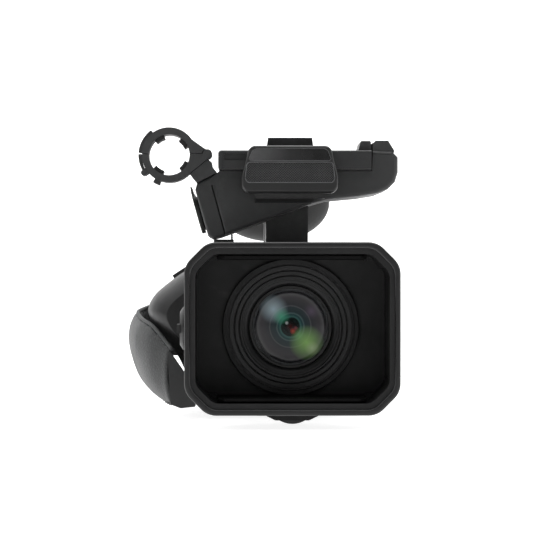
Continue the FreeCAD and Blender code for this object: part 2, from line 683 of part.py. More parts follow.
# ---------------------------------------------------------------- top handle
S1 = (-40.06, 159.1)
BLOCK = [(-58.8, 151.5), (-46.1, 157.9), (-44.8, 159.1), (52.2, 159.1), (52.8, 172.3), (64.9, 171.8), (68.7, 168.0),
         (68.7, 158.5), (66.8, 152.2), (62.3, 147.7), (56.0, 145.2), (44.6, 143.3), (23.7, 141.4), (14.8, 138.8),
         (-42.9, 117.9), (-48.6, 116.3), (-51.8, 117.9), (-60.0, 147.1)]
CAP = [(-58.8, 151.5), (-46.1, 157.9), (-44.8, 159.1), S1, (-40.06, 152.8), (-44.8, 151.8), (-49.9, 150.0),
       (-41.3, 118.48), (-42.9, 117.9), (-48.6, 116.3), (-51.8, 117.9), (-60.0, 147.1)]
MAINB = [S1, (52.2, 159.1), (52.8, 172.3), (64.9, 171.8), (68.7, 168.0), (68.7, 158.5), (66.8, 152.2), (62.3, 147.7),
         (56.0, 145.2), (44.6, 143.3), (23.7, 141.4), (14.8, 138.8), (-41.3, 118.48), (-49.9, 150.0), (-44.8, 151.8),
         (-40.06, 152.8)]
BY0 = param("block_front_y", -80.0)
BY1 = param("block_back_y", -12.0)

side = [(-52, 111.5), (-26, 111.5), (-26, 108), (118, 108), (118, 113), (108, 122), (104, 132), (104, 168),
        (84, 173), (56, 173), (20, 176), (-21, 176), (-23, 174), (-23, 150), (-52, 150)]
gap = [(6, 112.5), (80, 112.5), (86, 120), (88, 136), (84, 145), (72, 148.5), (10, 149.5), (1, 146), (-2, 138),
       (-2, 126), (1, 117)]
frame = prism("x", side, -14.8, 12.3)
frame = round_all(frame, 5.0, lambda e: (e.Length > 18 and e.BoundBox.ZMin > 165 and e.BoundBox.YMin > -22 and
                                         e.BoundBox.XLength < 0.1))
hole = prism("x", gap, -16, 14, fillet=3.0)
frame = cut(frame, hole)
frame = round_part(frame, 4.0, lambda e: (e.BoundBox.XLength < 0.1 and e.BoundBox.YMin > 9 and e.BoundBox.YMax < 73 and
                                          147 < e.BoundBox.ZMin < 150 and e.Length > 40))
bracket = prism("z", [(-24.5, 88), (8.5, 88), (8.5, 103.6), (-24.5, 103.6)], 149.5, 167.0, fillet=3.0)
ears = [fuse(box(x0, x1, 100.0, VY, VZ - 7.4, VZ + 7.4), cyl("x", VY, VZ, x0, x1, 7.4))
        for x0, x1 in ((-24.5, -20.3), (4.3, 8.5))]
pivots = [cyl("x", VY, VZ, -24.0, -19.0, 2.56), cyl("x", VY, VZ, 3.0, 8.0, 2.56)]
block_env = prism("y", BLOCK, BY0, BY1)
frame = cut(fuse(frame, bracket, *ears), block_env, *pivots)
# rocker and start/stop button sunk in the top of the bar
rock_room = prism("z", [(-8.0, 22.0), (5.5, 22.0), (5.5, 46.0), (-8.0, 46.0)], 169.6, 178.0, fillet=1.0)
rock_pin = cyl("x", 34.0, 171.4, -10.0, 7.5, 1.06)
rec_hole = cyl("z", -1.25, 10.0, 171.0, 178.0, 5.06)
frame = cut(frame, rock_room, rock_pin, rec_hole)
node("handle_frame", frame)
rocker = prism("x", [(22.6, 171.0), (45.4, 171.0), (45.4, 177.2), (40.0, 177.4), (34.0, 175.4), (28.0, 177.4), (22.6, 177.2)],
               -7.5, 5.0)
rock_shaft = cyl("x", 34.0, 171.4, -9.6, 7.1, 1.0)
relief = [box(-8, 6, 22.0, 32.0, 169.0, 172.3), box(-8, 6, 36.0, 46.0, 169.0, 172.3)]
node("handle_zoom_rocker", fuse(cut(rocker, *relief), rock_shaft))
node("handle_rec_button", fuse(cyl("z", -1.25, 10.0, 172.4, 177.6, 5.0), cyl("z", -1.25, 10.0, 177.4, 178.0, 3.4)))

# cross block that carries the screen, microphone and plug sockets
main = prism("y", MAINB, BY0, BY1, fillet=1.0, edges=[3, 4, 5, 6, 7, 8])
main = round_all(main, 2.4, both(on_plane("y", BY0), lambda e: e.BoundBox.ZMax < 168.1 and e.BoundBox.ZMin < 146 and e.BoundBox.ZMax < 159))
ear_pocket = box(51.95, 72.0, -69.2, -42.4, 159.8, 182.0)
bumps = [prism("y", [(52.8, 171.0), (52.8, 176.6), (54.6, 178.6), (62.6, 178.6), (66.4, 172.4), (66.4, 171.0)], y0, y1)
         for y0, y1 in ((-78.0, -69.2), (-42.4, -34.0))]
ear_holes = cyl("y", LHX, LHZ, -76.2, -35.8, 2.06)
main = cut(fuse(main, *bumps), ear_pocket, ear_holes)
cap = prism("y", CAP, BY0, BY1, fillet=1.0, edges=[0, 8, 9, 10, 11])
NRM = Vector(-0.963, 0.0, -0.271)
cap = round_all(cap, 1.6, both(on_plane("y", BY0), lambda e: e.BoundBox.ZMax < 119))
jacks, jack_holes = [], []


def along(c, d):
    return (c.x + NRM.x * d, c.y, c.z + NRM.z * d)


INW = (-NRM.x, 0.0, -NRM.z)
for yj in (-62.0, -32.0):
    c = Vector(-56.0, yj, 133.2)
    jack_holes.append(free_cyl(along(c, 4.0), INW, 19.0, 10.8))
    flange = free_cyl(along(c, 3.4), INW, 2.4, 12.6)
    sleeve = free_cyl(along(c, 3.4), INW, 17.0, 10.7)
    bore = free_cyl(along(c, 4.4), INW, 14.4, 9.6)
    contacts = []
    for ax in (30, 150, 270):
        p = Vector(*along(c, -9.0)) + Vector(-0.271, 0, 0.963) * (4.2 * math.cos(math.radians(ax))) \
            + Vector(0, 1, 0) * (4.2 * math.sin(math.radians(ax)))
        contacts.append(free_cyl((p.x, p.y, p.z), INW, 3.0, 1.4))
    tab = prism("y", [(-63.4, 149.4), (-62.6, 149.8), (-60.8, 144.0), (-61.6, 142.6), (-62.8, 145.2)], yj - 4.0, yj + 4.0)
    jacks.append(cut(fuse(flange, sleeve, tab), bore, *contacts))
node("xlr_jacks", gather(*jacks))
node("xlr_end_cover", cut(cap, *jack_holes))
node("handle_front_block", cut(main, box(-34, 48, -76, -16, 147.0, 156.6), *jack_holes))

# small spring fingers under the block that hold a cable
fingers = []
for x0, x1 in ((-47.6, -46.8), (-43.4, -42.4), (-37.4, -36.2)):
    zt = 117.9 + (x0 + 42.9) * 0.3622 if x0 > -42.9 else 116.6
    fingers.append(prism("x", [(-58.0, zt + 0.4 - 0.9), (-34.0, zt + 0.4 - 0.9), (-35.5, 110.5), (-38.0, 108.6), (-40.0, 110.5),
                               (-52.0, 110.5), (-54.0, 108.6), (-56.5, 110.5)], x0, x1))
node("cable_clip", fuse(box(-48.4, -35.6, -57.0, -35.0, 114.0, 116.1), *fingers))

# ---------------------------------------------------------------- microphone unit
MIC = [(-30.2, 144.4), (29.8, 144.4), (29.9, 155.0), (25.2, 174.2), (-25.6, 174.2), (-30.5, 155.0)]
GRL = [(-26.8, 151.0), (26.4, 151.0), (27.8, 153.2), (26.6, 163.8), (-27.2, 163.8), (-28.4, 153.2)]
PNL = [(-26.6, 164.7), (26.0, 164.7), (23.6, 171.0), (21.6, 172.4), (-21.0, 172.4), (-24.0, 171.0)]
housing = prism("y", MIC, -103.0, -88.5, fillet=5.0)
housing = round_all(housing, 1.6, on_plane("y", -103.0))
mneck = prism("x", [(-90, 141.4), (-82, 139.0), (-80, 139.0), (-80, 157.6), (-90, 157.6)], -22, 22)
mneck = cut(mneck, box(14.8, 60, -90, -79, 130, 141.4))
gpocket = prism("y", GRL, -104.0, -101.4, fillet=1.5)
ppocket = prism("y", PNL, -104.0, -101.6, fillet=1.2)
chamber = prism("y", [(-25, 152.4), (24.6, 152.4), (25.6, 154), (24.8, 162.2), (-25.4, 162.2), (-26.2, 154)], -102.0, -92.0)
node("microphone_housing", cut(fuse(housing, mneck), gpocket, ppocket, chamber))
grille = prism("y", GRL, -102.4, -101.4, fillet=1.5)
node("microphone_grille", grille)
panel_m = prism("y", PNL, -102.6, -101.6, fillet=1.2)
window = prism("y", [(-22.4, 165.6), (-19.2, 165.6), (-19.2, 168.8), (-22.4, 168.8)], -104, -102.1)
node("microphone_panel", cut(panel_m, window))
node("microphone_capsules", gather(cyl("y", -14.0, 157.3, -100.8, -93.0, 4.6), cyl("y", 13.4, 157.3, -100.8, -93.0, 4.6)))

# accessory shoes on the handle
shoes = []
for y0, y1, zb, zt, lip in ((-20.0, 3.0, 176.0, 183.6, 0), (58.0, 80.0, 173.0, 180.2, 0)):
    prof = [(-14.2, zb), (17.0, zb), (15.9, zt), (-13.1, zt)]
    s_ = prism("y", prof, y0, y1)
    slot = box(-7.95, 10.75, y0 + 3.0, y1 + 1, zt - 3.7, zt - 1.5)
    mouth = box(-4.85, 7.65, y0 + 3.0, y1 + 1, zt - 3.7, zt + 1)
    shoes.append(cut(s_, slot, mouth))
node("accessory_shoes", gather(*shoes))

# ---------------------------------------------------------------- clamp for a shotgun microphone
MY0 = param("clamp_front_y", -88.0)
MY1 = param("clamp_back_y", -66.0)
PX, PZ = -52.1, 169.7


def clamp_half(poly, keep):
    ring = fuse(common(cyl("y", CLX, CLZ, MY0, MY1, CLO), keep), prism("y", poly, MY0, MY1))
    return cut(ring, cyl("y", CLX, CLZ, MY0 - 1, MY1 + 1, CLR))


lower_poly = [(-76.3, 169.5), (PX, 169.5), (PX, 166.6), (-54.0, 164.8), (-63.5, 157.2), (-68.0, 154.0), (-76.3, 160.0)]
upper_poly = [(-76.3, 169.9), (PX, 169.9), (PX, 172.6), (-54.2, 173.2), (-71.5, 185.7), (-76.3, 178.0)]
lower = clamp_half(lower_poly, box(-100, -50, -90, -60, 145, 169.5))
upper = clamp_half(upper_poly, box(-100, -50, -90, -60, 169.9, 190))
LPX, LPZ = -92.27, 157.9
lower = cut(lower, cyl("y", PX, PZ, -82.0, -72.0, 3.5))
foot = sector(-76.3, 169.1, 17.0, 20.0, 239, 252, -84.0, -70.0)
latch_ears = [fuse(cyl("y", LPX, LPZ, y0, y1, 1.9),
                   prism("y", [(-91.2, 156.3), (-88.6, 158.1), (-90.7, 161.2), (-93.4, 159.4)], y0, y1))
              for y0, y1 in ((-85.0, -82.3), (-71.7, -69.0))]
lower = fuse(lower, cyl("y", PX, PZ, MY0, -82.2, 2.9), cyl("y", PX, PZ, -71.8, MY1, 2.9), cyl("y", PX, PZ, -87.0, -67.0, 1.0),
             foot, *latch_ears)
lower = cut(lower, cyl("y", LPX, LPZ, -84.6, -69.4, 0.86), cyl("y", CLX, CLZ, MY0 - 1, MY1 + 1, CLR))
node("mic_holder_lower", lower)
upper = cut(upper, cyl("y", PX, PZ, -89.0, -81.9, 3.5), cyl("y", PX, PZ, -72.1, -65.0, 3.5))
keeper = sector(-76.3, 169.1, 17.0, 19.6, 126, 175, -82.0, -72.0)
upper = cut(fuse(upper, cyl("y", PX, PZ, -81.8, -72.2, 2.9), keeper), cyl("y", PX, PZ, -83, -71, 1.06))
node("mic_holder_upper", upper)
for nm, angs in (("mic_pads_lower", (-37, -124)), ("mic_pads_upper", (120, 39))):
    node(nm, gather(*[sector(-76.3, 169.1, 10.5, CLR - 0.02, a - 15.5, a + 15.5, -87.0, -67.0) for a in angs]))
leaf = sector(-76.3, 169.1, 17.7, 19.6, 178, 211, -82.0, -72.0)
node("mic_latch", fuse(leaf, cyl("y", LPX, LPZ, -82.0, -72.0, 1.7), cyl("y", LPX, LPZ, -84.4, -69.6, 0.8)))
node("mic_holder_bracket", prism("y", [(-63.3, 157.1), (-61.4, 154.4), (-58.8, 151.5), (-46.1, 157.9), (-48.7, 161.2),
                                       (-49.3, 164.3), (-51.9, 166.4)], -86.0, -68.0))

# ---------------------------------------------------------------- fold-out screen
lshell = prism("y", [(-45.4, 159.4), (51.6, 159.4), (51.6, 172.1), (-45.4, 172.1)], -86.5, -25.0, fillet=2.2, edges=[0, 3])
lshell = round_all(lshell, 1.4, both(on_plane("y", -86.5), lambda e: e.BoundBox.XLength > 20))
lbump = prism("y", [(43.2, 171.0), (45.2, 178.4), (51.6, 178.4), (51.6, 171.0)], -78.0, -34.0, fillet=0.8, edges=[1, 2])
finger = prism("y", [(-41.6, 165.8), (-27.7, 165.8), (-27.7, 170.2), (-41.6, 170.2)], -88.0, -84.2, fillet=1.2)
sc_pocket = box(-38.0, 40.0, -78.0, -33.0, 158.0, 162.0)
groove_l = box(-42.6, -42.0, -88.0, -86.0, 159.0, 173.0)
rebate = box(-46.0, 52.0, -87.0, -83.6, 159.0, 160.5)
node("lcd_shell", cut(fuse(lshell, lbump), finger, sc_pocket, groove_l, rebate))
node("lcd_screen", box(-38.0, 40.0, -78.0, -33.0, 160.7, 162.0))
hblock = prism("y", [(51.6, 163.0), (60.0, 162.9), (64.0, 166.0), (64.4, 172.0), (62.6, 178.4), (54.6, 178.4), (51.6, 176.5)],
               -68.9, -42.7)
node("lcd_hinge", fuse(hblock, cyl("y", LHX, LHZ, -75.8, -36.2, 2.0)))

# ---------------------------------------------------------------- side grip
GR = [(-38, 104), (-52, 103), (-60, 100), (-67.8, 95.8), (-80, 87), (-89.2, 78.0), (-92.2, 70), (-90, 62), (-84, 53),
      (-77.7, 47.0), (-73.5, 41), (-70.5, 35.5), (-67.8, 29.8), (-63, 21), (-54, 14), (-38, 12)]


def scaled(pts, k, x0=-46.0, z0=60.0):
    return [(x0 + (x - x0) * k, z0 + (z - z0) * k) for x, z in pts]


gouter = lofted("y", [(-38.0, scaled(GR, 0.72)), (-20.0, scaled(GR, 0.95)), (20.0, GR), (66.0, scaled(GR, 0.97)),
                      (112.0, scaled(GR, 0.74))])
ginner = lofted("y", [(-33.0, scaled(GR, 0.66)), (-18.0, scaled(GR, 0.88)), (20.0, scaled(GR, 0.93)),
                      (66.0, scaled(GR, 0.90)), (108.0, scaled(GR, 0.69))])
away = box(-46.0, 20.0, -60.0, 140.0, -20.0, 140.0)
ring_room = cyl("y", 0, LZ, -60.0, -24.0, 48.6)
TILT = -33.0


def tilted(shape_maker, cx, cy, cz):
    o = shape_maker
    base = o.Placement
    o.Placement = Placement(Vector(cx, cy, cz), Rotation(Vector(0, 1, 0), TILT)).multiply(base)
    return o


def local_box(x0, x1, y0, y1, z0, z1):
    b = doc.addObject("Part::Box", fresh("block"))
    b.Length, b.Width, b.Height = x1 - x0, y1 - y0, z1 - z0
    b.Placement = Placement(Vector(x0, y0, z0), Rotation())
    return b


RC = (-70.4, 18.0, 94.2)
rock_seat = tilted(local_box(-9.0, 9.0, -18.6, 18.6, -9.5, -2.0), *RC)
rock_seat = common(rock_seat, gouter)
rock_cut = tilted(local_box(-6.4, 6.4, -15.9, 15.9, -6.6, 12.0), *RC)


def local_rod(x0, x1, z, r):
    c = doc.addObject("Part::Cylinder", fresh("round"))
    c.Radius, c.Height = r, x1 - x0
    c.Placement = Placement(Vector(x0, 0, z), Rotation(Vector(0, 1, 0), 90))
    return c


rock_bore = tilted(local_rod(-8.2, 8.2, -3.6, 1.56), *RC)
rec_cut = cyl("y", -64.0, 76.0, 100.0, 118.0, 6.06)
rec_seat = common(cyl("y", -64.0, 76.0, 98.0, 112.0, 8.0), gouter)
gouter2 = cut(gouter, ginner)
grip = cut(fuse(gouter2, rock_seat, rec_seat), away, ring_room, rock_cut, rock_bore, rec_cut,
           )
node("grip_housing", grip)
gr_rocker = fuse(tilted(local_box(-6.0, 6.0, -15.2, 15.2, -4.4, 2.4), *RC), tilted(local_rod(-8.0, 8.0, -3.6, 1.5), *RC))
scoops = [tilted(local_box(-7.0, 7.0, yy, yy + 1.0, 1.8, 4.0), *RC) for yy in (-12.0, -9.0, 8.0, 11.0)]
node("grip_zoom_rocker", cut(gr_rocker, *scoops))
node("grip_rec_button", fuse(cyl("y", -64.0, 76.0, 103.0, 115.0, 6.0), cyl("y", -64.0, 76.0, 114.8, 115.4, 4.2)))

# ---------------------------------------------------------------- hand strap
mid = [(-102.2, 69.0), (-104.6, 64.4), (-107.0, 54.0), (-105.9, 42.5), (-99.8, 25.6), (-90.3, 14.1), (-80.2, 6.0)]
front = [(-77.6, 46.0), (-78.8, 40.5), (-79.5, 34.0), (-79.6, 27.5), (-79.2, 21.0), (-78.2, 15.0), (-76.6, 9.0)]
rear = [(-88.6, 75.0), (-89.6, 69.6), (-90.2, 62.0), (-90.4, 54.0), (-89.8, 46.0), (-88.4, 38.0), (-86.6, 31.0)]


def blend_pts(a, b, tx, tz):
    return [(p[0] + (q[0] - p[0]) * tx, p[1] + (q[1] - p[1]) * tz) for p, q in zip(a, b)]


def leaf_section(pts, thick):
    n = len(pts)
    inner_side = []
    for i in range(n):
        p0, p1 = pts[max(0, i - 1)], pts[min(n - 1, i + 1)]
        tx, tz = p1[0] - p0[0], p1[1] - p0[1]
        ln = math.hypot(tx, tz)
        nx, nz = -tz / ln, tx / ln
        if nx < 0:
            nx, nz = -nx, -nz
        k = thick * (0.72 if i in (0, n - 1) else 1.0)
        inner_side.append((pts[i][0] + nx * k, pts[i][1] + nz * k))
    return pts + inner_side[::-1]


THK = 5.6
pad = lofted("y", [(-45.0, leaf_section(front, 4.6)), (-28.0, leaf_section(blend_pts(front, mid, 0.47, 0.60), THK)),
                   (-8.0, leaf_section(blend_pts(front, mid, 0.80, 0.82), THK)),
                   (25.0, leaf_section(mid, THK)), (66.0, leaf_section(blend_pts(rear, mid, 0.92, 0.70), THK)),
                   (105.0, leaf_section(rear, 4.6))])
node("strap_pad", pad)
fband = prism("y", [(-78.4, 41.5), (-76.8, 44.0), (-68.8, 32.5), (-64.0, 24.5), (-60.2, 20.6), (-60.2, 8.0), (-70.0, 7.0), (-76.4, 9.4)],
              -48.4, -45.4, fillet=1.2)
rband = prism("z", [(-88.2, 105.4), (-83.4, 105.4), (-82.4, 112.8), (-60.2, 113.2), (-60.2, 115.8), (-83.0, 115.8), (-87.2, 111.0)],
              36.0, 68.0)
node("strap_web", gather(fband, rband))
arm = prism("z", [(-60.0, -53.0), (-56.0, -53.0), (-52.0, -44.0), (-49.0, -34.0), (-49.0, -26.0), (-56.0, -26.0), (-58.5, -40.0),
                  (-60.0, -45.0)], 12.0, 28.0)
arm = cut(arm, gouter, cyl("y", 0, LZ, -60.0, -24.0, 48.6), box(-46.0, 0, -60, 0, 0, 60))
arm_r = box(-60.0, -46.0, 112.3, 118.0, 36.0, 68.0)
node("strap_anchors", gather(arm, arm_r))

# ---------------------------------------------------------------- viewfinder
vbody = prism("x", [(121.0, 135.0), (176.0, 131.0), (178.0, 133.0), (178.0, 163.5), (176.0, 165.4), (125.0, 165.4), (121.0, 162.0)],
              -24.0, 8.0, fillet=1.2)
vbody = round_all(vbody, 3.0, lambda e: e.BoundBox.XLength < 0.1 and e.BoundBox.YLength > 40)
vneck = box(-20.0, 4.0, VY, 122.0, 152.6, 163.4)
vknuckle = cyl("x", VY, VZ, -20.0, 4.0, 7.0)
vpins = cyl("x", VY, VZ, -23.6, 7.6, 2.5)
vbore = cyl("y", -8.0, 147.3, 150.0, 179.0, 13.0)
node("viewfinder_body", cut(fuse(vbody, vneck, vknuckle, vpins), vbore))
eyelens = turned([(170.0, 0.0), (170.0, 12.9), (175.0, 12.9), (176.4, 8.0), (177.0, 0.0)], z0=147.3, x0=-8.0)
node("eyepiece_lens", eyelens)


def oval(a, b, n=16):
    return [(-8.0 + a * math.cos(2 * math.pi * i / n), 147.3 + b * math.sin(2 * math.pi * i / n)) for i in range(n)]


eout = lofted("y", [(178.0, oval(15.4, 14.4)), (184.0, oval(26.0, 19.5)), (192.0, oval(40.0, 26.8)), (199.0, oval(43.0, 29.0)),
                    (206.0, oval(42.0, 28.2))])
ein = lofted("y", [(180.6, oval(12.8, 12.0)), (186.0, oval(23.0, 16.5)), (193.0, oval(36.6, 23.6)), (199.0, oval(39.8, 25.8)),
                   (207.0, oval(39.4, 25.6))])
ebore = cyl("y", -8.0, 147.3, 177.0, 183.0, 11.6)
node("eyecup", cut(eout, ein, ebore))

node("fastening_screws", gather(*screws))

# ---------------------------------------------------------------- write
doc.recompute()
bad = []
for o in doc.Objects:
    if any(s in ("Invalid", "Error") for s in o.State):
        bad.append("%s (%s) %s" % (o.Name, o.Label, o.State))
for name, obj in NODES:
    s = obj.Shape
    if s.isNull() or not s.isValid() or s.Volume <= 0:
        bad.append("%s: null or invalid shape" % name)
if len(NODES) > 60 or len(set(n for n, o in NODES)) != len(NODES):
    bad.append("node count or names: %d" % len(NODES))
if bad:
    raise SystemExit("\n".join(bad))
for name, obj in NODES:
    obj.Shape.exportStep("parts/%s.step" % name)
print("%d sub-parts written" % len(NODES))
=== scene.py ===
import json
import math
import random

import bmesh
import bpy
from mathutils import Matrix, Vector

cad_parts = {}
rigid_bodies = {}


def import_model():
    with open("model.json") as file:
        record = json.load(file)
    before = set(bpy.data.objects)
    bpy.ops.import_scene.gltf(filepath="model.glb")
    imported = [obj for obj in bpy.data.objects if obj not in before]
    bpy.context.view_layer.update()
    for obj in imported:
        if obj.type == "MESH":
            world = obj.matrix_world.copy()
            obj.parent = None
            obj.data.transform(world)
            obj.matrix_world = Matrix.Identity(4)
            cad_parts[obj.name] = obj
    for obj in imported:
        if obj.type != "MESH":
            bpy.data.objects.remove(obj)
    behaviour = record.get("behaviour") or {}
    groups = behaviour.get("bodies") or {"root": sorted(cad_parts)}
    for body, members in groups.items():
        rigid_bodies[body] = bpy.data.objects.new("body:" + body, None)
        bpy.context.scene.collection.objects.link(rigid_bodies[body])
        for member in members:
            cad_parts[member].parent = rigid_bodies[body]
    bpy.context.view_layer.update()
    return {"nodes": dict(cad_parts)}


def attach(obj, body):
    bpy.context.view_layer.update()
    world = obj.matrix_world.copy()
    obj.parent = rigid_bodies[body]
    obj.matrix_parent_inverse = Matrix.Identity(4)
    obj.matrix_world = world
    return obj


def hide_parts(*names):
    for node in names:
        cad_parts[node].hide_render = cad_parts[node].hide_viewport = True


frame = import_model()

NODES = frame["nodes"]
random.seed(7)

# ------------------------------------------------------------------ materials


def new_mat(name):
    m = bpy.data.materials.new(name)
    m.use_nodes = True
    nt = m.node_tree
    for n in list(nt.nodes):
        if n.type != "OUTPUT_MATERIAL":
            nt.nodes.remove(n)
    out = next(n for n in nt.nodes if n.type == "OUTPUT_MATERIAL")
    b = nt.nodes.new("ShaderNodeBsdfPrincipled")
    nt.links.new(b.outputs["BSDF"], out.inputs["Surface"])
    tc = nt.nodes.new("ShaderNodeTexCoord")
    return m, nt, b, tc, out


def noise(nt, vec, scale, detail=3.0, rough=0.55, dist=0.0):
    n = nt.nodes.new("ShaderNodeTexNoise")
    n.inputs["Scale"].default_value = scale
    n.inputs["Detail"].default_value = detail
    n.inputs["Roughness"].default_value = rough
    n.inputs["Distortion"].default_value = dist
    nt.links.new(vec, n.inputs["Vector"])
    return n.outputs["Fac"]


def ramp(nt, fac, a, b, lo=0.0, hi=1.0):
    r = nt.nodes.new("ShaderNodeValToRGB")
    r.color_ramp.elements[0].position = lo
    r.color_ramp.elements[1].position = hi
    r.color_ramp.elements[0].color = (*a, 1)
    r.color_ramp.elements[1].color = (*b, 1)
    nt.links.new(fac, r.inputs["Fac"])
    return r.outputs["Color"]


def remap(nt, fac, lo, hi, f0=0.0, f1=1.0):
    r = nt.nodes.new("ShaderNodeMapRange")
    r.inputs["From Min"].default_value = f0
    r.inputs["From Max"].default_value = f1
    r.inputs["To Min"].default_value = lo
    r.inputs["To Max"].default_value = hi
    nt.links.new(fac, r.inputs["Value"])
    return r.outputs["Result"]


def mixc(nt, fac, a, b, mode="MIX"):
    m = nt.nodes.new("ShaderNodeMix")
    m.data_type = "RGBA"
    m.blend_type = mode
    for sock, v in ((m.inputs[0], fac), (m.inputs[6], a), (m.inputs[7], b)):
        if isinstance(v, (int, float)):
            sock.default_value = v
        elif isinstance(v, tuple):
            sock.default_value = (*v, 1)
        else:
            nt.links.new(v, sock)
    return m.outputs[2]


def math_n(nt, op, a, b=None):
    n = nt.nodes.new("ShaderNodeMath")
    n.operation = op
    for i, v in enumerate((a, b)):
        if v is None:
            continue
        if isinstance(v, (int, float)):
            n.inputs[i].default_value = v
        else:
            nt.links.new(v, n.inputs[i])
    return n.outputs[0]


def bump(nt, b, height, strength, dist=0.0002, prev=None):
    n = nt.nodes.new("ShaderNodeBump")
    n.inputs["Strength"].default_value = strength
    n.inputs["Distance"].default_value = dist
    nt.links.new(height, n.inputs["Height"])
    if prev is not None:
        nt.links.new(prev, n.inputs["Normal"])
    nt.links.new(n.outputs["Normal"], b.inputs["Normal"])
    return n.outputs["Normal"]


def edge_wear(nt, lo=0.53, hi=0.60):
    g = nt.nodes.new("ShaderNodeNewGeometry")
    return remap(nt, g.outputs["Pointiness"], 0.0, 1.0, lo, hi)


def plastic(name, dark, light, rough=0.5, spread=0.08, grain=2600.0, grain_amp=0.25, coat=0.0, spec=0.5, wear=0.35):
    """Moulded plastic: fine spark grain, faint cloudiness, paler worn edges."""
    m, nt, b, tc, out = new_mat(name)
    v = tc.outputs["Object"]
    cloud = noise(nt, v, 28.0, 4.0)
    fine = noise(nt, v, grain, 2.0, 0.6)
    col = ramp(nt, cloud, dark, light, 0.35, 0.68)
    speck = remap(nt, fine, 0.86, 1.14, 0.3, 0.7)
    tint = mixc(nt, 1.0, col, speck, "MULTIPLY")
    worn = tuple(min(1.0, c * 1.9 + 0.012) for c in light)
    scratch = noise(nt, v, 160.0, 3.0, 0.7)
    mask = math_n(nt, "MULTIPLY", edge_wear(nt), remap(nt, scratch, 0.0, wear, 0.42, 0.7))
    nt.links.new(mixc(nt, mask, tint, worn), b.inputs["Base Color"])
    nt.links.new(remap(nt, noise(nt, v, 60.0, 5.0, 0.65), rough - spread, rough + spread, 0.3, 0.7), b.inputs["Roughness"])
    b.inputs["Specular IOR Level"].default_value = spec
    b.inputs["Coat Weight"].default_value = coat
    b.inputs["Coat Roughness"].default_value = 0.12
    bump(nt, b, fine, grain_amp, 0.00012)
    return m


def rubber(name, dark, light, rough=0.62, grain=1500.0, amp=0.25):
    m, nt, b, tc, out = new_mat(name)
    v = tc.outputs["Object"]
    fine = noise(nt, v, grain, 4.0, 0.6)
    dust = noise(nt, v, 45.0, 5.0, 0.7)
    col = ramp(nt, dust, dark, light, 0.4, 0.75)
    nt.links.new(mixc(nt, remap(nt, fine, 0.0, 0.35, 0.55, 0.8), col, tuple(c * 1.6 for c in light)), b.inputs["Base Color"])
    nt.links.new(remap(nt, dust, rough - 0.07, rough + 0.1, 0.3, 0.7), b.inputs["Roughness"])
    b.inputs["Specular IOR Level"].default_value = 0.35
    b.inputs["Sheen Weight"].default_value = 0.06
    b.inputs["Sheen Roughness"].default_value = 0.4
    bump(nt, b, fine, amp, 0.00015)
    return m


def metal(name, dark, light, rough=0.33, metallic=0.85, rings=0.0):
    """Anodised or bare metal with fine turning marks."""
    m, nt, b, tc, out = new_mat(name)
    v = tc.outputs["Object"]
    mp = nt.nodes.new("ShaderNodeMapping")
    mp.inputs["Scale"].default_value = (1.0, 12.0, 1.0)
    nt.links.new(v, mp.inputs["Vector"])
    streak = noise(nt, mp.outputs["Vector"], 320.0, 3.0, 0.6)
    cloud = noise(nt, v, 35.0, 4.0)
    col = ramp(nt, cloud, dark, light, 0.3, 0.7)
    nt.links.new(mixc(nt, remap(nt, streak, 0.0, 0.3, 0.4, 0.7), col, tuple(min(1, c * 1.7) for c in light)), b.inputs["Base Color"])
    b.inputs["Metallic"].default_value = metallic
    nt.links.new(remap(nt, streak, rough - 0.08, rough + 0.1, 0.3, 0.7), b.inputs["Roughness"])
    bump(nt, b, streak, 0.12, 0.00008)
    return m


def glass(name, tint, coat_tint, rough=0.02):
    """Coated glass: clear with a tinted mirror film."""
    m, nt, b, tc, out = new_mat(name)
    v = tc.outputs["Object"]
    nt.nodes.remove(b)
    fr = nt.nodes.new("ShaderNodeFresnel")
    fr.inputs["IOR"].default_value = 1.5
    tr = nt.nodes.new("ShaderNodeBsdfTransparent")
    tr.inputs["Color"].default_value = (*tint, 1)
    gl = nt.nodes.new("ShaderNodeBsdfGlossy")
    gl.inputs["Roughness"].default_value = rough
    sm = noise(nt, v, 55.0, 3.0)
    a, c = coat_tint
    nt.links.new(ramp(nt, sm, a, c, 0.35, 0.65), gl.inputs["Color"])
    mx = nt.nodes.new("ShaderNodeMixShader")
    film = math_n(nt, "ADD", fr.outputs["Fac"], remap(nt, noise(nt, v, 400.0, 2.0), 0.02, 0.05))
    nt.links.new(film, mx.inputs[0])
    nt.links.new(tr.outputs[0], mx.inputs[1])
    nt.links.new(gl.outputs[0], mx.inputs[2])
    nt.links.new(mx.outputs[0], out.inputs["Surface"])
    return m


def radius_from(nt, v, cx, cz):
    """Distance in metres from the line x = cx, z = cz that runs front to back."""
    sub = nt.nodes.new("ShaderNodeVectorMath")
    sub.operation = "SUBTRACT"
    nt.links.new(v, sub.inputs[0])
    sub.inputs[1].default_value = (cx, 0.0, cz)
    flat = nt.nodes.new("ShaderNodeVectorMath")
    flat.operation = "MULTIPLY"
    nt.links.new(sub.outputs[0], flat.inputs[0])
    flat.inputs[1].default_value = (1.0, 0.0, 1.0)
    ln = nt.nodes.new("ShaderNodeVectorMath")
    ln.operation = "LENGTH"
    nt.links.new(flat.outputs[0], ln.inputs[0])
    return ln.outputs["Value"]


def ring_ramp(nt, fac, stops):
    """Colour by radius in millimetres: stops [(r_mm, colour), ...] up to 32."""
    r = nt.nodes.new("ShaderNodeValToRGB")
    els = r.color_ramp.elements
    while len(els) < len(stops):
        els.new(0.5)
    for e, (q, c) in zip(els, stops):
        e.position = q / 25.0
        e.color = (*c, 1)
    nt.links.new(remap(nt, fac, 0.0, 1.0, 0.0, 0.025), r.inputs["Fac"])
    return r.outputs["Color"]


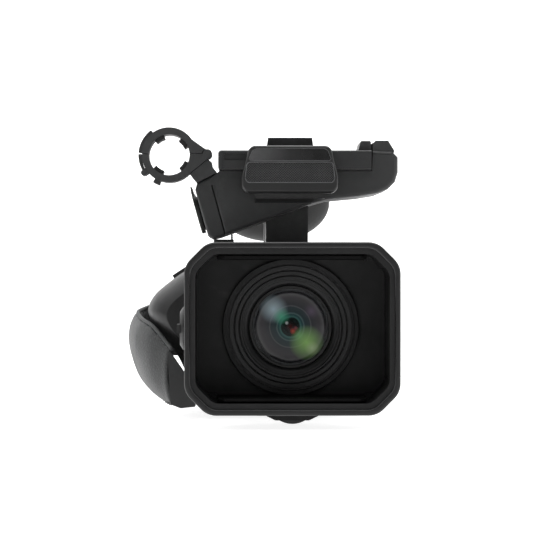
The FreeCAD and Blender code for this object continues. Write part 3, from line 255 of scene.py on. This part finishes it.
def spot(nt, v, x, z, rad, power=2.0):
    """Soft round patch, 1 at its middle and 0 at rad millimetres."""
    d = radius_from(nt, v, x / 1000.0, z / 1000.0)
    return math_n(nt, "POWER", remap(nt, d, 1.0, 0.0, 0.0, rad / 1000.0), power)


def coated_element_painted_reflections(name):
    """Multi-coated front element: dark glass with painted concentric rings of reflection and shade standing in for the
    inner elements, and painted coloured coating reflections and a white glint as soft spots.
    """
    m, nt, b, tc, out = new_mat(name)
    v = tc.outputs["Object"]
    zc = 0.0608
    wob = noise(nt, v, 70.0, 3.0)
    rad = math_n(nt, "ADD", radius_from(nt, v, 0.0, zc), remap(nt, wob, -0.0003, 0.0003, 0.3, 0.7))
    # painted rings of reflection and shade by radius, standing in for the inner elements and retaining rings
    col = ring_ramp(nt, rad, [(0.0, (0.10, 0.018, 0.014)), (2.0, (0.030, 0.020, 0.022)), (3.0, (0.008, 0.010, 0.010)),
                              (5.6, (0.012, 0.026, 0.024)), (6.2, (0.070, 0.170, 0.160)), (7.6, (0.024, 0.070, 0.068)),
                              (8.4, (0.110, 0.170, 0.175)), (9.2, (0.040, 0.062, 0.068)), (12.4, (0.052, 0.066, 0.072)),
                              (12.9, (0.130, 0.142, 0.150)), (13.6, (0.062, 0.064, 0.070)), (18.4, (0.092, 0.088, 0.094)),
                              (20.6, (0.150, 0.148, 0.152)), (21.4, (0.030, 0.030, 0.033)), (22.2, (0.014, 0.014, 0.016)),
                              (23.5, (0.130, 0.134, 0.138))])
    # painted reflections: soft coloured spots of the studio lights in the coating, and one small white glint
    for (x, z, r, pw, c, k) in ((-10.6, 71.8, 9.4, 1.2, (0.62, 0.80, 0.88), 0.80), (-5.8, 67.4, 6.0, 1.3, (0.10, 0.62, 0.34), 0.70),
                                (10.0, 51.0, 11.4, 1.1, (0.42, 0.80, 0.22), 0.85), (13.4, 47.6, 5.0, 1.3, (0.72, 0.90, 0.50), 0.6),
                                (5.6, 55.2, 4.4, 1.4, (0.30, 0.70, 0.24), 0.5), (-2.4, 63.3, 1.3, 1.0, (0.90, 0.95, 0.95), 0.8),
                                (1.4, 58.2, 2.2, 1.2, (0.80, 0.10, 0.06), 0.8), (3.2, 60.0, 1.8, 1.2, (0.45, 0.10, 0.12), 0.6),
                                (13.0, 70.5, 6.0, 1.6, (0.30, 0.22, 0.34), 0.4)):
        f = math_n(nt, "MULTIPLY", spot(nt, v, x, z, r, pw), k)
        col = mixc(nt, f, col, c)
    nt.links.new(col, b.inputs["Base Color"])
    nt.links.new(remap(nt, noise(nt, v, 300.0, 2.0), 0.05, 0.09, 0.3, 0.7), b.inputs["Roughness"])
    b.inputs["Specular IOR Level"].default_value = 0.12
    tr = nt.nodes.new("ShaderNodeBsdfTransparent")
    tr.inputs["Color"].default_value = (0.80, 0.88, 0.86, 1)
    mx = nt.nodes.new("ShaderNodeMixShader")
    nt.links.new(remap(nt, rad, 0.16, 0.06, 0.0, 0.024), mx.inputs[0])
    nt.links.new(b.outputs["BSDF"], mx.inputs[1])
    nt.links.new(tr.outputs[0], mx.inputs[2])
    nt.links.new(mx.outputs[0], out.inputs["Surface"])
    return m


def graded_plate_painted_highlight(name, stops, rough=0.16):
    """Polished plate with a painted highlight: tone runs from light at one end to dark at the other, with a faint
    cloudy variation.
    """
    m, nt, b, tc, out = new_mat(name)
    v = tc.outputs["Object"]
    sep = nt.nodes.new("ShaderNodeSeparateXYZ")
    nt.links.new(v, sep.inputs[0])
    r = nt.nodes.new("ShaderNodeValToRGB")
    els = r.color_ramp.elements
    while len(els) < len(stops):
        els.new(0.5)
    for e, (q, c) in zip(els, stops):
        e.position = q
        e.color = (c, c, c * 1.02, 1)
    nt.links.new(remap(nt, sep.outputs[0], 0.0, 1.0, -0.027, 0.027), r.inputs["Fac"])
    cloud = noise(nt, v, 90.0, 3.0)
    nt.links.new(mixc(nt, 1.0, r.outputs["Color"], remap(nt, cloud, 0.88, 1.12, 0.3, 0.7), "MULTIPLY"), b.inputs["Base Color"])
    nt.links.new(remap(nt, cloud, rough - 0.03, rough + 0.04, 0.3, 0.7), b.inputs["Roughness"])
    b.inputs["Coat Weight"].default_value = 0.3
    b.inputs["Coat Roughness"].default_value = 0.1
    return m


def perforated(name, dark, light, pitch=0.0009):
    """Pressed metal mesh: rows of small dark holes with bright webs between."""
    m, nt, b, tc, out = new_mat(name)
    v = tc.outputs["Object"]
    sep = nt.nodes.new("ShaderNodeSeparateXYZ")
    nt.links.new(v, sep.inputs[0])
    k = math.pi / pitch
    across = math_n(nt, "ADD", sep.outputs[0], sep.outputs[2])
    other = math_n(nt, "SUBTRACT", sep.outputs[0], sep.outputs[2])
    wave = math_n(nt, "MULTIPLY", math_n(nt, "SINE", math_n(nt, "MULTIPLY", across, k)),
                  math_n(nt, "SINE", math_n(nt, "MULTIPLY", other, k)))
    hole = remap(nt, math_n(nt, "ABSOLUTE", wave), 0.0, 1.0, 0.22, 0.55)
    cloud = noise(nt, v, 60.0, 3.0)
    web = ramp(nt, cloud, light, tuple(c * 1.3 for c in light), 0.35, 0.65)
    nt.links.new(mixc(nt, hole, web, dark), b.inputs["Base Color"])
    nt.links.new(remap(nt, cloud, 0.42, 0.58, 0.3, 0.7), b.inputs["Roughness"])
    b.inputs["Metallic"].default_value = 0.2
    inv = math_n(nt, "SUBTRACT", 1.0, hole)
    bump(nt, b, inv, 0.8, 0.0003)
    return m


M = {}
M["shell"] = plastic("shell_black", (0.011, 0.0113, 0.0115), (0.018, 0.0183, 0.0185), 0.47, 0.07)
M["hood"] = plastic("hood_black", (0.0075, 0.0075, 0.0078), (0.012, 0.012, 0.0122), 0.58, 0.08, spec=0.3)
# shutter blades inside the hood: near-black and dull, darker than the hood plastic, as painted shade in the hood's
# cavity
M["blade"] = plastic("blade_black", (0.0035, 0.0035, 0.0037), (0.006, 0.006, 0.0062), 0.7, 0.05, spec=0.12, wear=0.0)
M["lensface"] = plastic("lens_face_black", (0.0075, 0.0076, 0.008), (0.012, 0.0122, 0.0126), 0.48, 0.05, grain_amp=0.08, spec=0.4)
M["block"] = plastic("block_grey", (0.021, 0.0216, 0.022), (0.029, 0.0298, 0.0303), 0.50, 0.06, grain=3200.0)
M["screenshell"] = plastic("screen_shell", (0.017, 0.0175, 0.018), (0.024, 0.0245, 0.025), 0.42, 0.06, grain=3600.0)
M["gloss"] = plastic("gloss_black", (0.011, 0.011, 0.012), (0.018, 0.018, 0.019), 0.20, 0.05, grain_amp=0.03, coat=0.5)
M["grip"] = plastic("grip_black", (0.008, 0.008, 0.0083), (0.014, 0.014, 0.0145), 0.46, 0.06, grain=1900.0, grain_amp=0.35, coat=0.0, spec=0.35)
M["rim"] = rubber("rim_rubber", (0.0062, 0.0062, 0.0064), (0.0105, 0.0105, 0.0108), 0.38)
M["ring"] = rubber("ring_rubber", (0.012, 0.012, 0.0125), (0.022, 0.022, 0.023), 0.6)
M["pad"] = rubber("pad_rubber", (0.010, 0.010, 0.010), (0.018, 0.018, 0.018), 0.7)
M["cup"] = rubber("eyecup_rubber", (0.030, 0.030, 0.030), (0.045, 0.045, 0.045), 0.72, 900.0)
M["anod"] = metal("black_anodised", (0.015, 0.015, 0.016), (0.03, 0.03, 0.031), 0.38, 0.35)
M["cell"] = metal("cell_black", (0.004, 0.004, 0.004), (0.009, 0.009, 0.009), 0.5, 0.2)
M["steel"] = metal("bright_steel", (0.42, 0.42, 0.43), (0.60, 0.60, 0.61), 0.28, 1.0)
M["caps"] = metal("capsule_metal", (0.35, 0.35, 0.36), (0.5, 0.5, 0.5), 0.35, 1.0)
M["pack"] = plastic("pack_black", (0.014, 0.014, 0.015), (0.023, 0.023, 0.024), 0.55, 0.05)
M["red"] = plastic("record_red", (0.28, 0.012, 0.012), (0.42, 0.025, 0.02), 0.32, 0.05, grain_amp=0.04, coat=0.4)
M["board"] = plastic("board_green", (0.008, 0.05, 0.02), (0.015, 0.09, 0.035), 0.4, 0.06)
# lighter rubber for painted highlight lines on the hood's rim
M["rimline"] = rubber("rim_painted_highlight_rubber", (0.030, 0.030, 0.031), (0.046, 0.046, 0.047), 0.34)
# bright metal for painted highlight lines round the microphone's mesh and plate
M["bead"] = metal("bead_metal", (0.085, 0.087, 0.090), (0.13, 0.132, 0.135), 0.4, 0.3)
M["mesh"] = perforated("mesh_grille", (0.002, 0.002, 0.002), (0.052, 0.053, 0.054), 0.00155)
# painted highlight: light at the left end of the plate fading to dark at the right
M["plate"] = graded_plate_painted_highlight("mic_plate_painted_highlight", [(0.0, 0.105), (0.22, 0.075), (0.5, 0.020), (0.8, 0.012), (1.0, 0.010)])
# microphone housing: black plastic made darker than the other glossy black, as painted shade on its underside and rim
M["michouse_painted_shade"] = plastic("mic_housing_black_painted_shade", (0.0095, 0.0097, 0.010), (0.0145, 0.0148, 0.015), 0.34, 0.05, grain_amp=0.10, coat=0.1)
M["lens_painted_reflections"] = coated_element_painted_reflections("coated_front_painted_reflections")
M["front_glass"] = glass("front_glass", (0.80, 0.86, 0.84), ((0.75, 0.95, 0.80), (0.80, 0.80, 1.0)))
M["inner_glass"] = glass("inner_glass", (0.70, 0.74, 0.70), ((0.35, 0.9, 0.35), (0.45, 0.55, 1.0)), 0.08)
M["screen_glass"] = plastic("screen_glass", (0.006, 0.007, 0.009), (0.010, 0.011, 0.014), 0.10, 0.03, grain_amp=0.01, coat=0.9, wear=0.0)

NODE_MAT = {
    "body_cover_left": "shell", "body_cover_right": "shell", "rear_panel": "shell", "base_plate": "anod",
    "fastening_screws": "steel", "lens_barrel": "anod", "filter_ring": "lensface", "front_lens_element": "lens_painted_reflections",
    "lens_cell": "cell", "inner_lens_elements": "inner_glass", "image_sensor": "board", "main_board": "board",
    "handle_frame": "shell", "handle_front_block": "block", "xlr_end_cover": "block", "xlr_jacks": "shell",
    "cable_clip": "shell", "microphone_housing": "michouse_painted_shade", "microphone_grille": "mesh", "microphone_panel": "plate",
    "microphone_capsules": "caps", "accessory_shoes": "anod", "mic_holder_bracket": "block", "mic_holder_lower": "block",
    "mic_pads_lower": "pad", "grip_housing": "grip", "strap_pad": "shell", "strap_web": "shell", "strap_anchors": "anod",
    "hood_shell": "hood", "hood_trim": "rim", "shutter_upper": "blade", "shutter_lower": "blade", "shutter_knob": "shell",
    "hood_release_button": "pack", "focus_ring": "ring", "zoom_ring": "ring", "iris_ring": "ring",
    "lcd_shell": "screenshell", "lcd_screen": "screen_glass", "lcd_hinge": "block", "mic_holder_upper": "block",
    "mic_pads_upper": "pad", "mic_latch": "block", "viewfinder_body": "shell", "eyecup": "cup",
    "eyepiece_lens": "front_glass", "battery_pack": "pack", "grip_zoom_rocker": "shell", "grip_rec_button": "red",
    "handle_zoom_rocker": "shell", "handle_rec_button": "red", "card_door": "shell", "audio_cover": "gloss",
    "menu_dial": "anod", "audio_knob_1": "anod", "audio_knob_2": "anod", "nd_switch": "block",
    "assign_button_1": "block", "assign_button_2": "block"}

BEVEL = {"hood_trim": 0.0006, "hood_shell": 0.0006, "handle_front_block": 0.0008, "xlr_end_cover": 0.0008,
         "handle_frame": 0.0006, "lcd_shell": 0.0005, "battery_pack": 0.0006, "viewfinder_body": 0.0005,
         "microphone_housing": 0.0004, "base_plate": 0.0005, "body_cover_left": 0.0004, "body_cover_right": 0.0004}
NO_BEVEL = {"front_lens_element", "inner_lens_elements", "eyepiece_lens", "main_board", "image_sensor", "strap_pad"}

for name, ob in NODES.items():
    mat = M[NODE_MAT[name]]
    if not ob.material_slots:
        ob.data.materials.append(mat)
    for s in ob.material_slots:
        s.material = mat
    w = ob.modifiers.new("weld", "WELD")
    w.merge_threshold = 0.000004
    if name not in NO_BEVEL:
        bv = ob.modifiers.new("edge", "BEVEL")
        bv.width = BEVEL.get(name, 0.0003)
        bv.segments = 2
        bv.limit_method = "ANGLE"
        bv.angle_limit = math.radians(28)
        bv.harden_normals = False
        bv.use_clamp_overlap = True
        bv.miter_outer = "MITER_ARC"

# ------------------------------------------------------------------ mesh helpers


def mesh_obj(name, verts, faces, mat, smooth=True):
    me = bpy.data.meshes.new(name)
    me.from_pydata([tuple(v) for v in verts], [], faces)
    me.validate()
    me.update()
    ob = bpy.data.objects.new(name, me)
    bpy.context.scene.collection.objects.link(ob)
    me.materials.append(mat)
    for p in me.polygons:
        p.use_smooth = smooth
    return ob


def modify(ob, kind, **k):
    m = ob.modifiers.new(kind.lower(), kind)
    for a, v in k.items():
        setattr(m, a, v)
    return m


def apply_all(ob):
    dg = bpy.context.evaluated_depsgraph_get()
    me = bpy.data.meshes.new_from_object(ob.evaluated_get(dg))
    ob.modifiers.clear()
    old = ob.data
    ob.data = me
    bpy.data.meshes.remove(old)


def smoothstep(t):
    t = max(0.0, min(1.0, t))
    return t * t * (3 - 2 * t)


def catmull(keys, t):
    """Value of a smooth curve through keys [(position, value tuple), ...]."""
    n = len(keys)
    for i in range(n - 1):
        if t <= keys[i + 1][0] or i == n - 2:
            break
    t0, t1 = keys[i][0], keys[i + 1][0]
    u = (t - t0) / (t1 - t0)
    p0 = keys[max(0, i - 1)][1]
    p1, p2 = keys[i][1], keys[i + 1][1]
    p3 = keys[min(n - 1, i + 2)][1]
    out = []
    for a, b, c, d in zip(p0, p1, p2, p3):
        out.append(0.5 * ((2 * b) + (-a + c) * u + (2 * a - 5 * b + 4 * c - d) * u * u + (-a + 3 * b - 3 * c + d) * u ** 3))
    return out


# ------------------------------------------------------------------ hand strap
def weave(name, dark, light, thread=0.9, amp=0.8, rough=0.8, sheen=0.25):
    """Woven nylon: two crossed sets of threads read from the piece's own place."""
    m, nt, b, tc, out = new_mat(name)
    v = tc.outputs["Object"]
    wa = nt.nodes.new("ShaderNodeTexWave")
    wa.wave_type, wa.bands_direction = "BANDS", "Y"
    wb = nt.nodes.new("ShaderNodeTexWave")
    wb.wave_type, wb.bands_direction = "BANDS", "Z"
    for w in (wa, wb):
        w.inputs["Scale"].default_value = 330.0 * thread
        w.inputs["Distortion"].default_value = 1.2
        w.inputs["Detail"].default_value = 1.0
        nt.links.new(v, w.inputs["Vector"])
    cross = math_n(nt, "MULTIPLY", wa.outputs["Fac"], wb.outputs["Fac"])
    cloud = noise(nt, v, 40.0, 4.0)
    col = ramp(nt, cross, dark, light, 0.05, 0.75)
    nt.links.new(mixc(nt, remap(nt, cloud, 0.1, 0.5, 0.35, 0.7), col, tuple(c * 1.5 for c in light)), b.inputs["Base Color"])
    nt.links.new(remap(nt, cloud, rough - 0.06, rough + 0.08, 0.3, 0.7), b.inputs["Roughness"])
    b.inputs["Sheen Weight"].default_value = sheen
    b.inputs["Sheen Roughness"].default_value = 0.45
    b.inputs["Specular IOR Level"].default_value = 0.3
    bump(nt, b, cross, amp, 0.0002)
    return m


def leather(name, dark, light, cell=520.0, amp=0.5, rough=0.55):
    m, nt, b, tc, out = new_mat(name)
    v = tc.outputs["Object"]
    vo = nt.nodes.new("ShaderNodeTexVoronoi")
    vo.inputs["Scale"].default_value = cell
    vo.feature = "DISTANCE_TO_EDGE"
    nt.links.new(v, vo.inputs["Vector"])
    cells = remap(nt, vo.outputs["Distance"], 0.0, 1.0, 0.0, 0.25)
    cloud = noise(nt, v, 35.0, 5.0, 0.6)
    col = ramp(nt, cells, dark, light, 0.0, 0.6)
    nt.links.new(mixc(nt, remap(nt, cloud, 0.0, 0.55, 0.38, 0.7), col, tuple(c * 1.45 for c in light)), b.inputs["Base Color"])
    nt.links.new(remap(nt, cloud, rough - 0.08, rough + 0.1, 0.3, 0.7), b.inputs["Roughness"])
    b.inputs["Specular IOR Level"].default_value = 0.45
    b.inputs["Sheen Weight"].default_value = 0.08
    bump(nt, b, cells, amp, 0.00025)
    return m


M["weave"] = weave("strap_weave", (0.014, 0.0147, 0.0148), (0.038, 0.0396, 0.040))
M["leather"] = leather("strap_leather", (0.019, 0.020, 0.0205), (0.034, 0.0355, 0.036))
M["lining"] = leather("strap_lining", (0.034, 0.0355, 0.036), (0.056, 0.058, 0.059), 900.0, 0.25, 0.7)
M["thread"] = weave("strap_thread", (0.035, 0.036, 0.036), (0.09, 0.092, 0.094), 3.0, 0.5, 0.7)

MID = [(-102.2, 69.0), (-104.6, 64.4), (-107.0, 54.0), (-105.9, 42.5), (-99.8, 25.6), (-90.3, 14.1), (-80.2, 6.0)]
FRONT = [(-77.6, 46.0), (-78.8, 40.5), (-79.5, 34.0), (-79.6, 27.5), (-79.2, 21.0), (-78.2, 15.0), (-76.6, 9.0)]
REAR = [(-88.6, 75.0), (-89.6, 69.6), (-90.2, 62.0), (-90.4, 54.0), (-89.8, 46.0), (-88.4, 38.0), (-86.6, 31.0)]


def blend_rows(a, b, tx, tz):
    return [(p[0] + (q[0] - p[0]) * tx, p[1] + (q[1] - p[1]) * tz) for p, q in zip(a, b)]


ROWS = [(-45.0, FRONT), (-28.0, blend_rows(FRONT, MID, 0.47, 0.60)), (-8.0, blend_rows(FRONT, MID, 0.80, 0.82)), (25.0, MID), (66.0, blend_rows(REAR, MID, 0.92, 0.70)), (105.0, REAR)]


def strap_point(s, t):
    """s 0..1 down the strap's width, t 0..1 from front to rear (millimetres)."""
    y = -45.0 + 150.0 * t
    cols = []
    for i in range(7):
        cols.append((i / 6.0, catmull([(r[0], r[1][i]) for r in ROWS], y)))
    x, z = catmull(cols, s)
    return Vector((x, y, z))


def strap_frame(s, t):
    p = strap_point(s, t)
    ds = strap_point(min(1, s + 0.01), t) - strap_point(max(0, s - 0.01), t)
    dt = strap_point(s, min(1, t + 0.01)) - strap_point(s, max(0, t - 0.01))
    n = ds.cross(dt).normalized()
    if n.x > 0:
        n = -n
    return p, n, ds.normalized(), dt.normalized()


def strap_slab(name, mat, s0, s1, t0, t1, depth0, depth1, ns=22, ntt=64, puff=0.0):
    """Closed pad between two depths under the strap's outer surface."""
    verts, faces = [], []
    for layer in (0, 1):
        for j in range(ntt + 1):
            for i in range(ns + 1):
                s = s0 + (s1 - s0) * i / ns
                t = t0 + (t1 - t0) * j / ntt
                p, n, _, _ = strap_frame(s, t)
                d = depth0 if layer == 0 else depth1
                edge = min(i / ns, 1 - i / ns) * 2
                edge_t = min(j / ntt, 1 - j / ntt) * 6
                crown = puff * (1 - (1 - min(1, edge * 1.6)) ** 2) * min(1, edge_t)
                off = -d + (crown if layer == 0 else -crown * 0.6)
                q = p + n * off
                verts.append(q / 1000.0)
    w = ns + 1
    L = (ns + 1) * (ntt + 1)
    for j in range(ntt):
        for i in range(ns):
            a = j * w + i
            faces.append((a, a + 1, a + w + 1, a + w))
            faces.append((L + a, L + a + w, L + a + w + 1, L + a + 1))
    for j in range(ntt):
        for i in (0, ns):
            a = j * w + i
            f = (a, a + w, L + a + w, L + a)
            faces.append(f if i == 0 else f[::-1])
    for i in range(ns):
        for j in (0, ntt):
            a = j * w + i
            f = (a, L + a, L + a + 1, a + 1)
            faces.append(f if j == 0 else f[::-1])
    ob = mesh_obj(name, verts, faces, mat)
    bm = bmesh.new()
    bm.from_mesh(ob.data)
    bmesh.ops.recalc_face_normals(bm, faces=bm.faces)
    bm.to_mesh(ob.data)
    bm.free()
    return ob


def puff_up(ob, cap=0.0016, voxel=0.0028, pressure=3.0):
    """Blow the pad up as stuffed cloth and keep the swelling small."""
    modify(ob, "REMESH", mode="VOXEL", voxel_size=voxel)
    apply_all(ob)
    for p in ob.data.polygons:
        p.use_smooth = True
    rest = [v.co.copy() for v in ob.data.vertices]
    c = ob.modifiers.new("cloth", "CLOTH")
    cs = c.settings
    cs.quality = 5
    cs.mass = 0.2
    cs.use_pressure = True
    cs.uniform_pressure_force = pressure
    cs.tension_stiffness = 25
    cs.compression_stiffness = 25
    cs.shear_stiffness = 12
    cs.bending_stiffness = 2.5
    cs.effector_weights.gravity = 0.0
    c.point_cache.frame_start = 1
    c.point_cache.frame_end = 20
    sc = bpy.context.scene
    for f in range(1, 21):
        sc.frame_set(f)
    dg = bpy.context.evaluated_depsgraph_get()
    ev = ob.evaluated_get(dg).to_mesh()
    moved = [v.co.copy() for v in ev.vertices]
    ob.evaluated_get(dg).to_mesh_clear()
    ob.modifiers.clear()
    for v, r, q in zip(ob.data.vertices, rest, moved):
        d = q - r
        if d.length > cap:
            d = d.normalized() * cap
        v.co = r + d
    sc.frame_set(1)
    return ob


pad = strap_slab("strap_pad_cloth", M["leather"], 0.03, 0.985, 0.0, 1.0, 0.9, 4.6, puff=0.5)
puff_up(pad)
modify(pad, "SUBSURF", levels=1, render_levels=1)
apply_all(pad)
for p_ in pad.data.polygons:
    p_.use_smooth = True
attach(pad, "camera")
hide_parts("strap_pad")


def tube(name, pts, radius, mat, ring=8, closed=False, flat=1.0):
    """Round bead along points, as a mesh."""
    n = len(pts)
    verts, faces = [], []
    up = Vector((0, 0, 1))
    for k, p in enumerate(pts):
        a = pts[(k - 1) % n] if (closed or k) else pts[k]
        b = pts[(k + 1) % n] if (closed or k < n - 1) else pts[k]
        tdir = (b - a).normalized()
        side = tdir.cross(up)
        if side.length < 1e-4:
            side = tdir.cross(Vector((0, 1, 0)))
        side.normalize()
        nrm = side.cross(tdir).normalized()
        for q in range(ring):
            ang = 2 * math.pi * q / ring
            verts.append(p + side * (math.cos(ang) * radius) + nrm * (math.sin(ang) * radius * flat))
    last = n if closed else n - 1
    for k in range(last):
        for q in range(ring):
            a = k * ring + q
            b = k * ring + (q + 1) % ring
            c = ((k + 1) % n) * ring + (q + 1) % ring
            d = ((k + 1) % n) * ring + q
            faces.append((a, b, c, d))
    if not closed:
        faces.append(tuple(range(ring))[::-1])
        faces.append(tuple((n - 1) * ring + q for q in range(ring)))
    return mesh_obj(name, verts, faces, mat)


# piping round both long edges, and two rows of stitches
for tag, s in (("upper", 0.02), ("lower", 0.985)):
    pts = []
    for j in range(81):
        p, n, _, _ = strap_frame(s, j / 80.0)
        pts.append((p - n * 2.2) / 1000.0)
    edge = tube("strap_piping_" + tag, pts, 0.0012, M["lining"], 10)
    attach(edge, "camera")

def rounded_loop(poly, r, y, steps=5):
    """Closed run of points round a flat outline with rounded corners; millimetres in, metres out."""
    out, n = [], len(poly)
    for k in range(n):
        p, a, c = (Vector((*poly[(k + j) % n], 0.0)) for j in (0, -1, 1))
        u, w = (a - p), (c - p)
        t = min(r, u.length * 0.45, w.length * 0.45)
        u, w = p + u.normalized() * t, p + w.normalized() * t
        for q in range(steps + 1):
            f = q / steps
            v = u * (1 - f) ** 2 + p * (2 * f * (1 - f)) + w * f ** 2
            out.append(Vector((v.x, y, v.y)) / 1000.0)
    return out


# fine raised beads round the microphone's mesh and its glossy plate, made bright as painted highlight lines on their
# edges
GRILLE_LINE = [(-26.8, 151.0), (26.4, 151.0), (27.8, 153.2), (26.6, 163.8), (-27.2, 163.8), (-28.4, 153.2)]
PLATE_LINE = [(-26.6, 164.7), (26.0, 164.7), (23.6, 171.0), (21.6, 172.4), (-21.0, 172.4), (-24.0, 171.0)]
for tag, line, rad in (("mesh", GRILLE_LINE, 0.00034), ("plate", PLATE_LINE, 0.00026)):
    bead = tube("microphone_bead_" + tag, rounded_loop(line, 2.4, -102.75), rad, M["bead"], 8, closed=True)
    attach(bead, "camera")

# fine lighter rubber beads on the soft rim of the hood's mouth: painted highlights along the rim's inner and outer
# edges
for tag, w2, h2, c, y, rad in (("inner", 61.9, 49.0, 12.7, -164.55, 0.00036), ("outer", 63.9, 51.0, 13.5, -164.60, 0.00028)):
    zc = 60.8
    loop = [(-w2, zc - h2 + c), (-w2 + c, zc - h2), (w2 - c, zc - h2), (w2, zc - h2 + c),
            (w2, zc + h2 - c), (w2 - c, zc + h2), (-w2 + c, zc + h2), (-w2, zc + h2 - c)]
    bead = tube("hood_rim_bead_" + tag, rounded_loop(loop, 4.6, y, 7), rad, M["rimline"], 8, closed=True)
    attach(bead, "lens_hood")


def stitches(name, point_at, count, length, radius, mat, body="camera"):
    """Short raised threads, one mesh; point_at(u) gives (place, outward, along) in metres."""
    verts, faces = [], []
    for k in range(count):
        p, n, d = point_at((k + 0.5) / count)
        side = n.cross(d).normalized()
        segs = 5
        base = len(verts)
        for q in range(segs + 1):
            u = q / segs
            arch = math.sin(math.pi * u)
            c = p + d * ((u - 0.5) * length) + n * (radius * 1.1 * arch - radius * 0.5)
            rr = radius * (0.55 + 0.45 * arch)
            for w in range(6):
                a = 2 * math.pi * w / 6
                verts.append(c + side * (math.cos(a) * rr) + n * (math.sin(a) * rr))
        for q in range(segs):
            for w in range(6):
                a = base + q * 6 + w
                b2 = base + q * 6 + (w + 1) % 6
                faces.append((a, b2, b2 + 6, a + 6))
        faces.append(tuple(base + w for w in range(6))[::-1])
        faces.append(tuple(base + segs * 6 + w for w in range(6)))
    ob = mesh_obj(name, verts, faces, mat)
    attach(ob, body)
    return ob


from mathutils.bvhtree import BVHTree
pad_tree = BVHTree.FromPolygons([v.co.copy() for v in pad.data.vertices], [tuple(p.vertices) for p in pad.data.polygons])


def on_pad(s, t, lift=0.0):
    p, n, ds, dt = strap_frame(s, t)
    start = (p + n * 12.0) / 1000.0
    hit = pad_tree.ray_cast(start, -n)
    q = hit[0] if hit[0] is not None else p / 1000.0
    return q + n * lift, n, dt


for tag, s in (("upper", 0.075), ("lower", 0.93)):
    stitches("strap_stitch_" + tag, lambda u, s=s: on_pad(s, 0.02 + 0.96 * u), 58, 0.0017, 0.00030, M["thread"])

# ------------------------------------------------------------------ floor, light, camera
floor_m, nt, b, tc, out = new_mat("studio_floor")
v = tc.outputs["Object"]
nt.links.new(ramp(nt, noise(nt, v, 3.0, 3.0), (0.55, 0.55, 0.55), (0.60, 0.60, 0.60), 0.35, 0.65), b.inputs["Base Color"])
nt.links.new(remap(nt, noise(nt, v, 20.0, 3.0), 0.75, 0.9), b.inputs["Roughness"])
b.inputs["Emission Color"].default_value = (1.0, 1.0, 1.0, 1)
b.inputs["Emission Strength"].default_value = 0.86
verts, faces = [], []
prof = [(-6.0, 0.0), (0.0, 0.0), (1.6, 0.0)]
R = 0.9
for k in range(1, 13):
    a = math.pi / 2 * k / 12
    prof.append((1.6 + R * math.sin(a), R - R * math.cos(a)))
prof.append((1.6 + R, 5.0))
for (y, z) in prof:
    verts += [Vector((-5.0, y, z)), Vector((5.0, y, z))]
for k in range(len(prof) - 1):
    faces.append((2 * k, 2 * k + 1, 2 * k + 3, 2 * k + 2))
floor = mesh_obj("studio_backdrop", verts, faces, floor_m)


def area(name, loc, target, size, power, color=(1, 1, 1), size_y=None):
    li = bpy.data.lights.new(name, "AREA")
    li.energy = power
    li.color = color
    li.shape = "RECTANGLE"
    li.size = size
    li.size_y = size_y or size
    ob = bpy.data.objects.new(name, li)
    bpy.context.scene.collection.objects.link(ob)
    ob.location = loc
    d = Vector(target) - Vector(loc)
    ob.rotation_euler = d.to_track_quat("-Z", "Y").to_euler()
    return ob


area("top_box", (0.0, 0.1, 1.5), (0, 0.05, 0.1), 1.5, 20.0)
area("key_left", (-1.35, -0.35, 0.95), (0, -0.05, 0.1), 0.6, 6.0, size_y=1.1)
area("fill_right", (1.45, -0.35, 0.55), (0, -0.05, 0.1), 0.6, 6.0, size_y=1.1)
area("front_high", (0.25, -1.9, 1.9), (0, 0, 0.1), 0.7, 5.0, size_y=0.5)
area("back_wall", (0.0, 0.9, 1.6), (0, 2.4, 0.6), 2.4, 40.0)

world = bpy.data.worlds.new("studio")
bpy.context.scene.world = world
world.use_nodes = True
world.node_tree.nodes["Background"].inputs[0].default_value = (1, 1, 1, 1)
world.node_tree.nodes["Background"].inputs[1].default_value = 0.16

cam_d = bpy.data.cameras.new("camera")
cam = bpy.data.objects.new("camera", cam_d)
bpy.context.scene.collection.objects.link(cam)
cam.location = (-0.0315, -1.665, 0.0932)
cam.rotation_euler = (math.radians(90.0), 0.0, math.radians(-0.8))
cam_d.sensor_width = 36.0
cam_d.lens = 163.6
cam_d.clip_start = 0.05
cam_d.clip_end = 50.0
bpy.context.scene.camera = cam
bpy.context.scene.view_settings.view_transform = "Standard"

for ob in bpy.data.objects:
    if ob.type == "MESH":
        for p in ob.data.polygons:
            pass
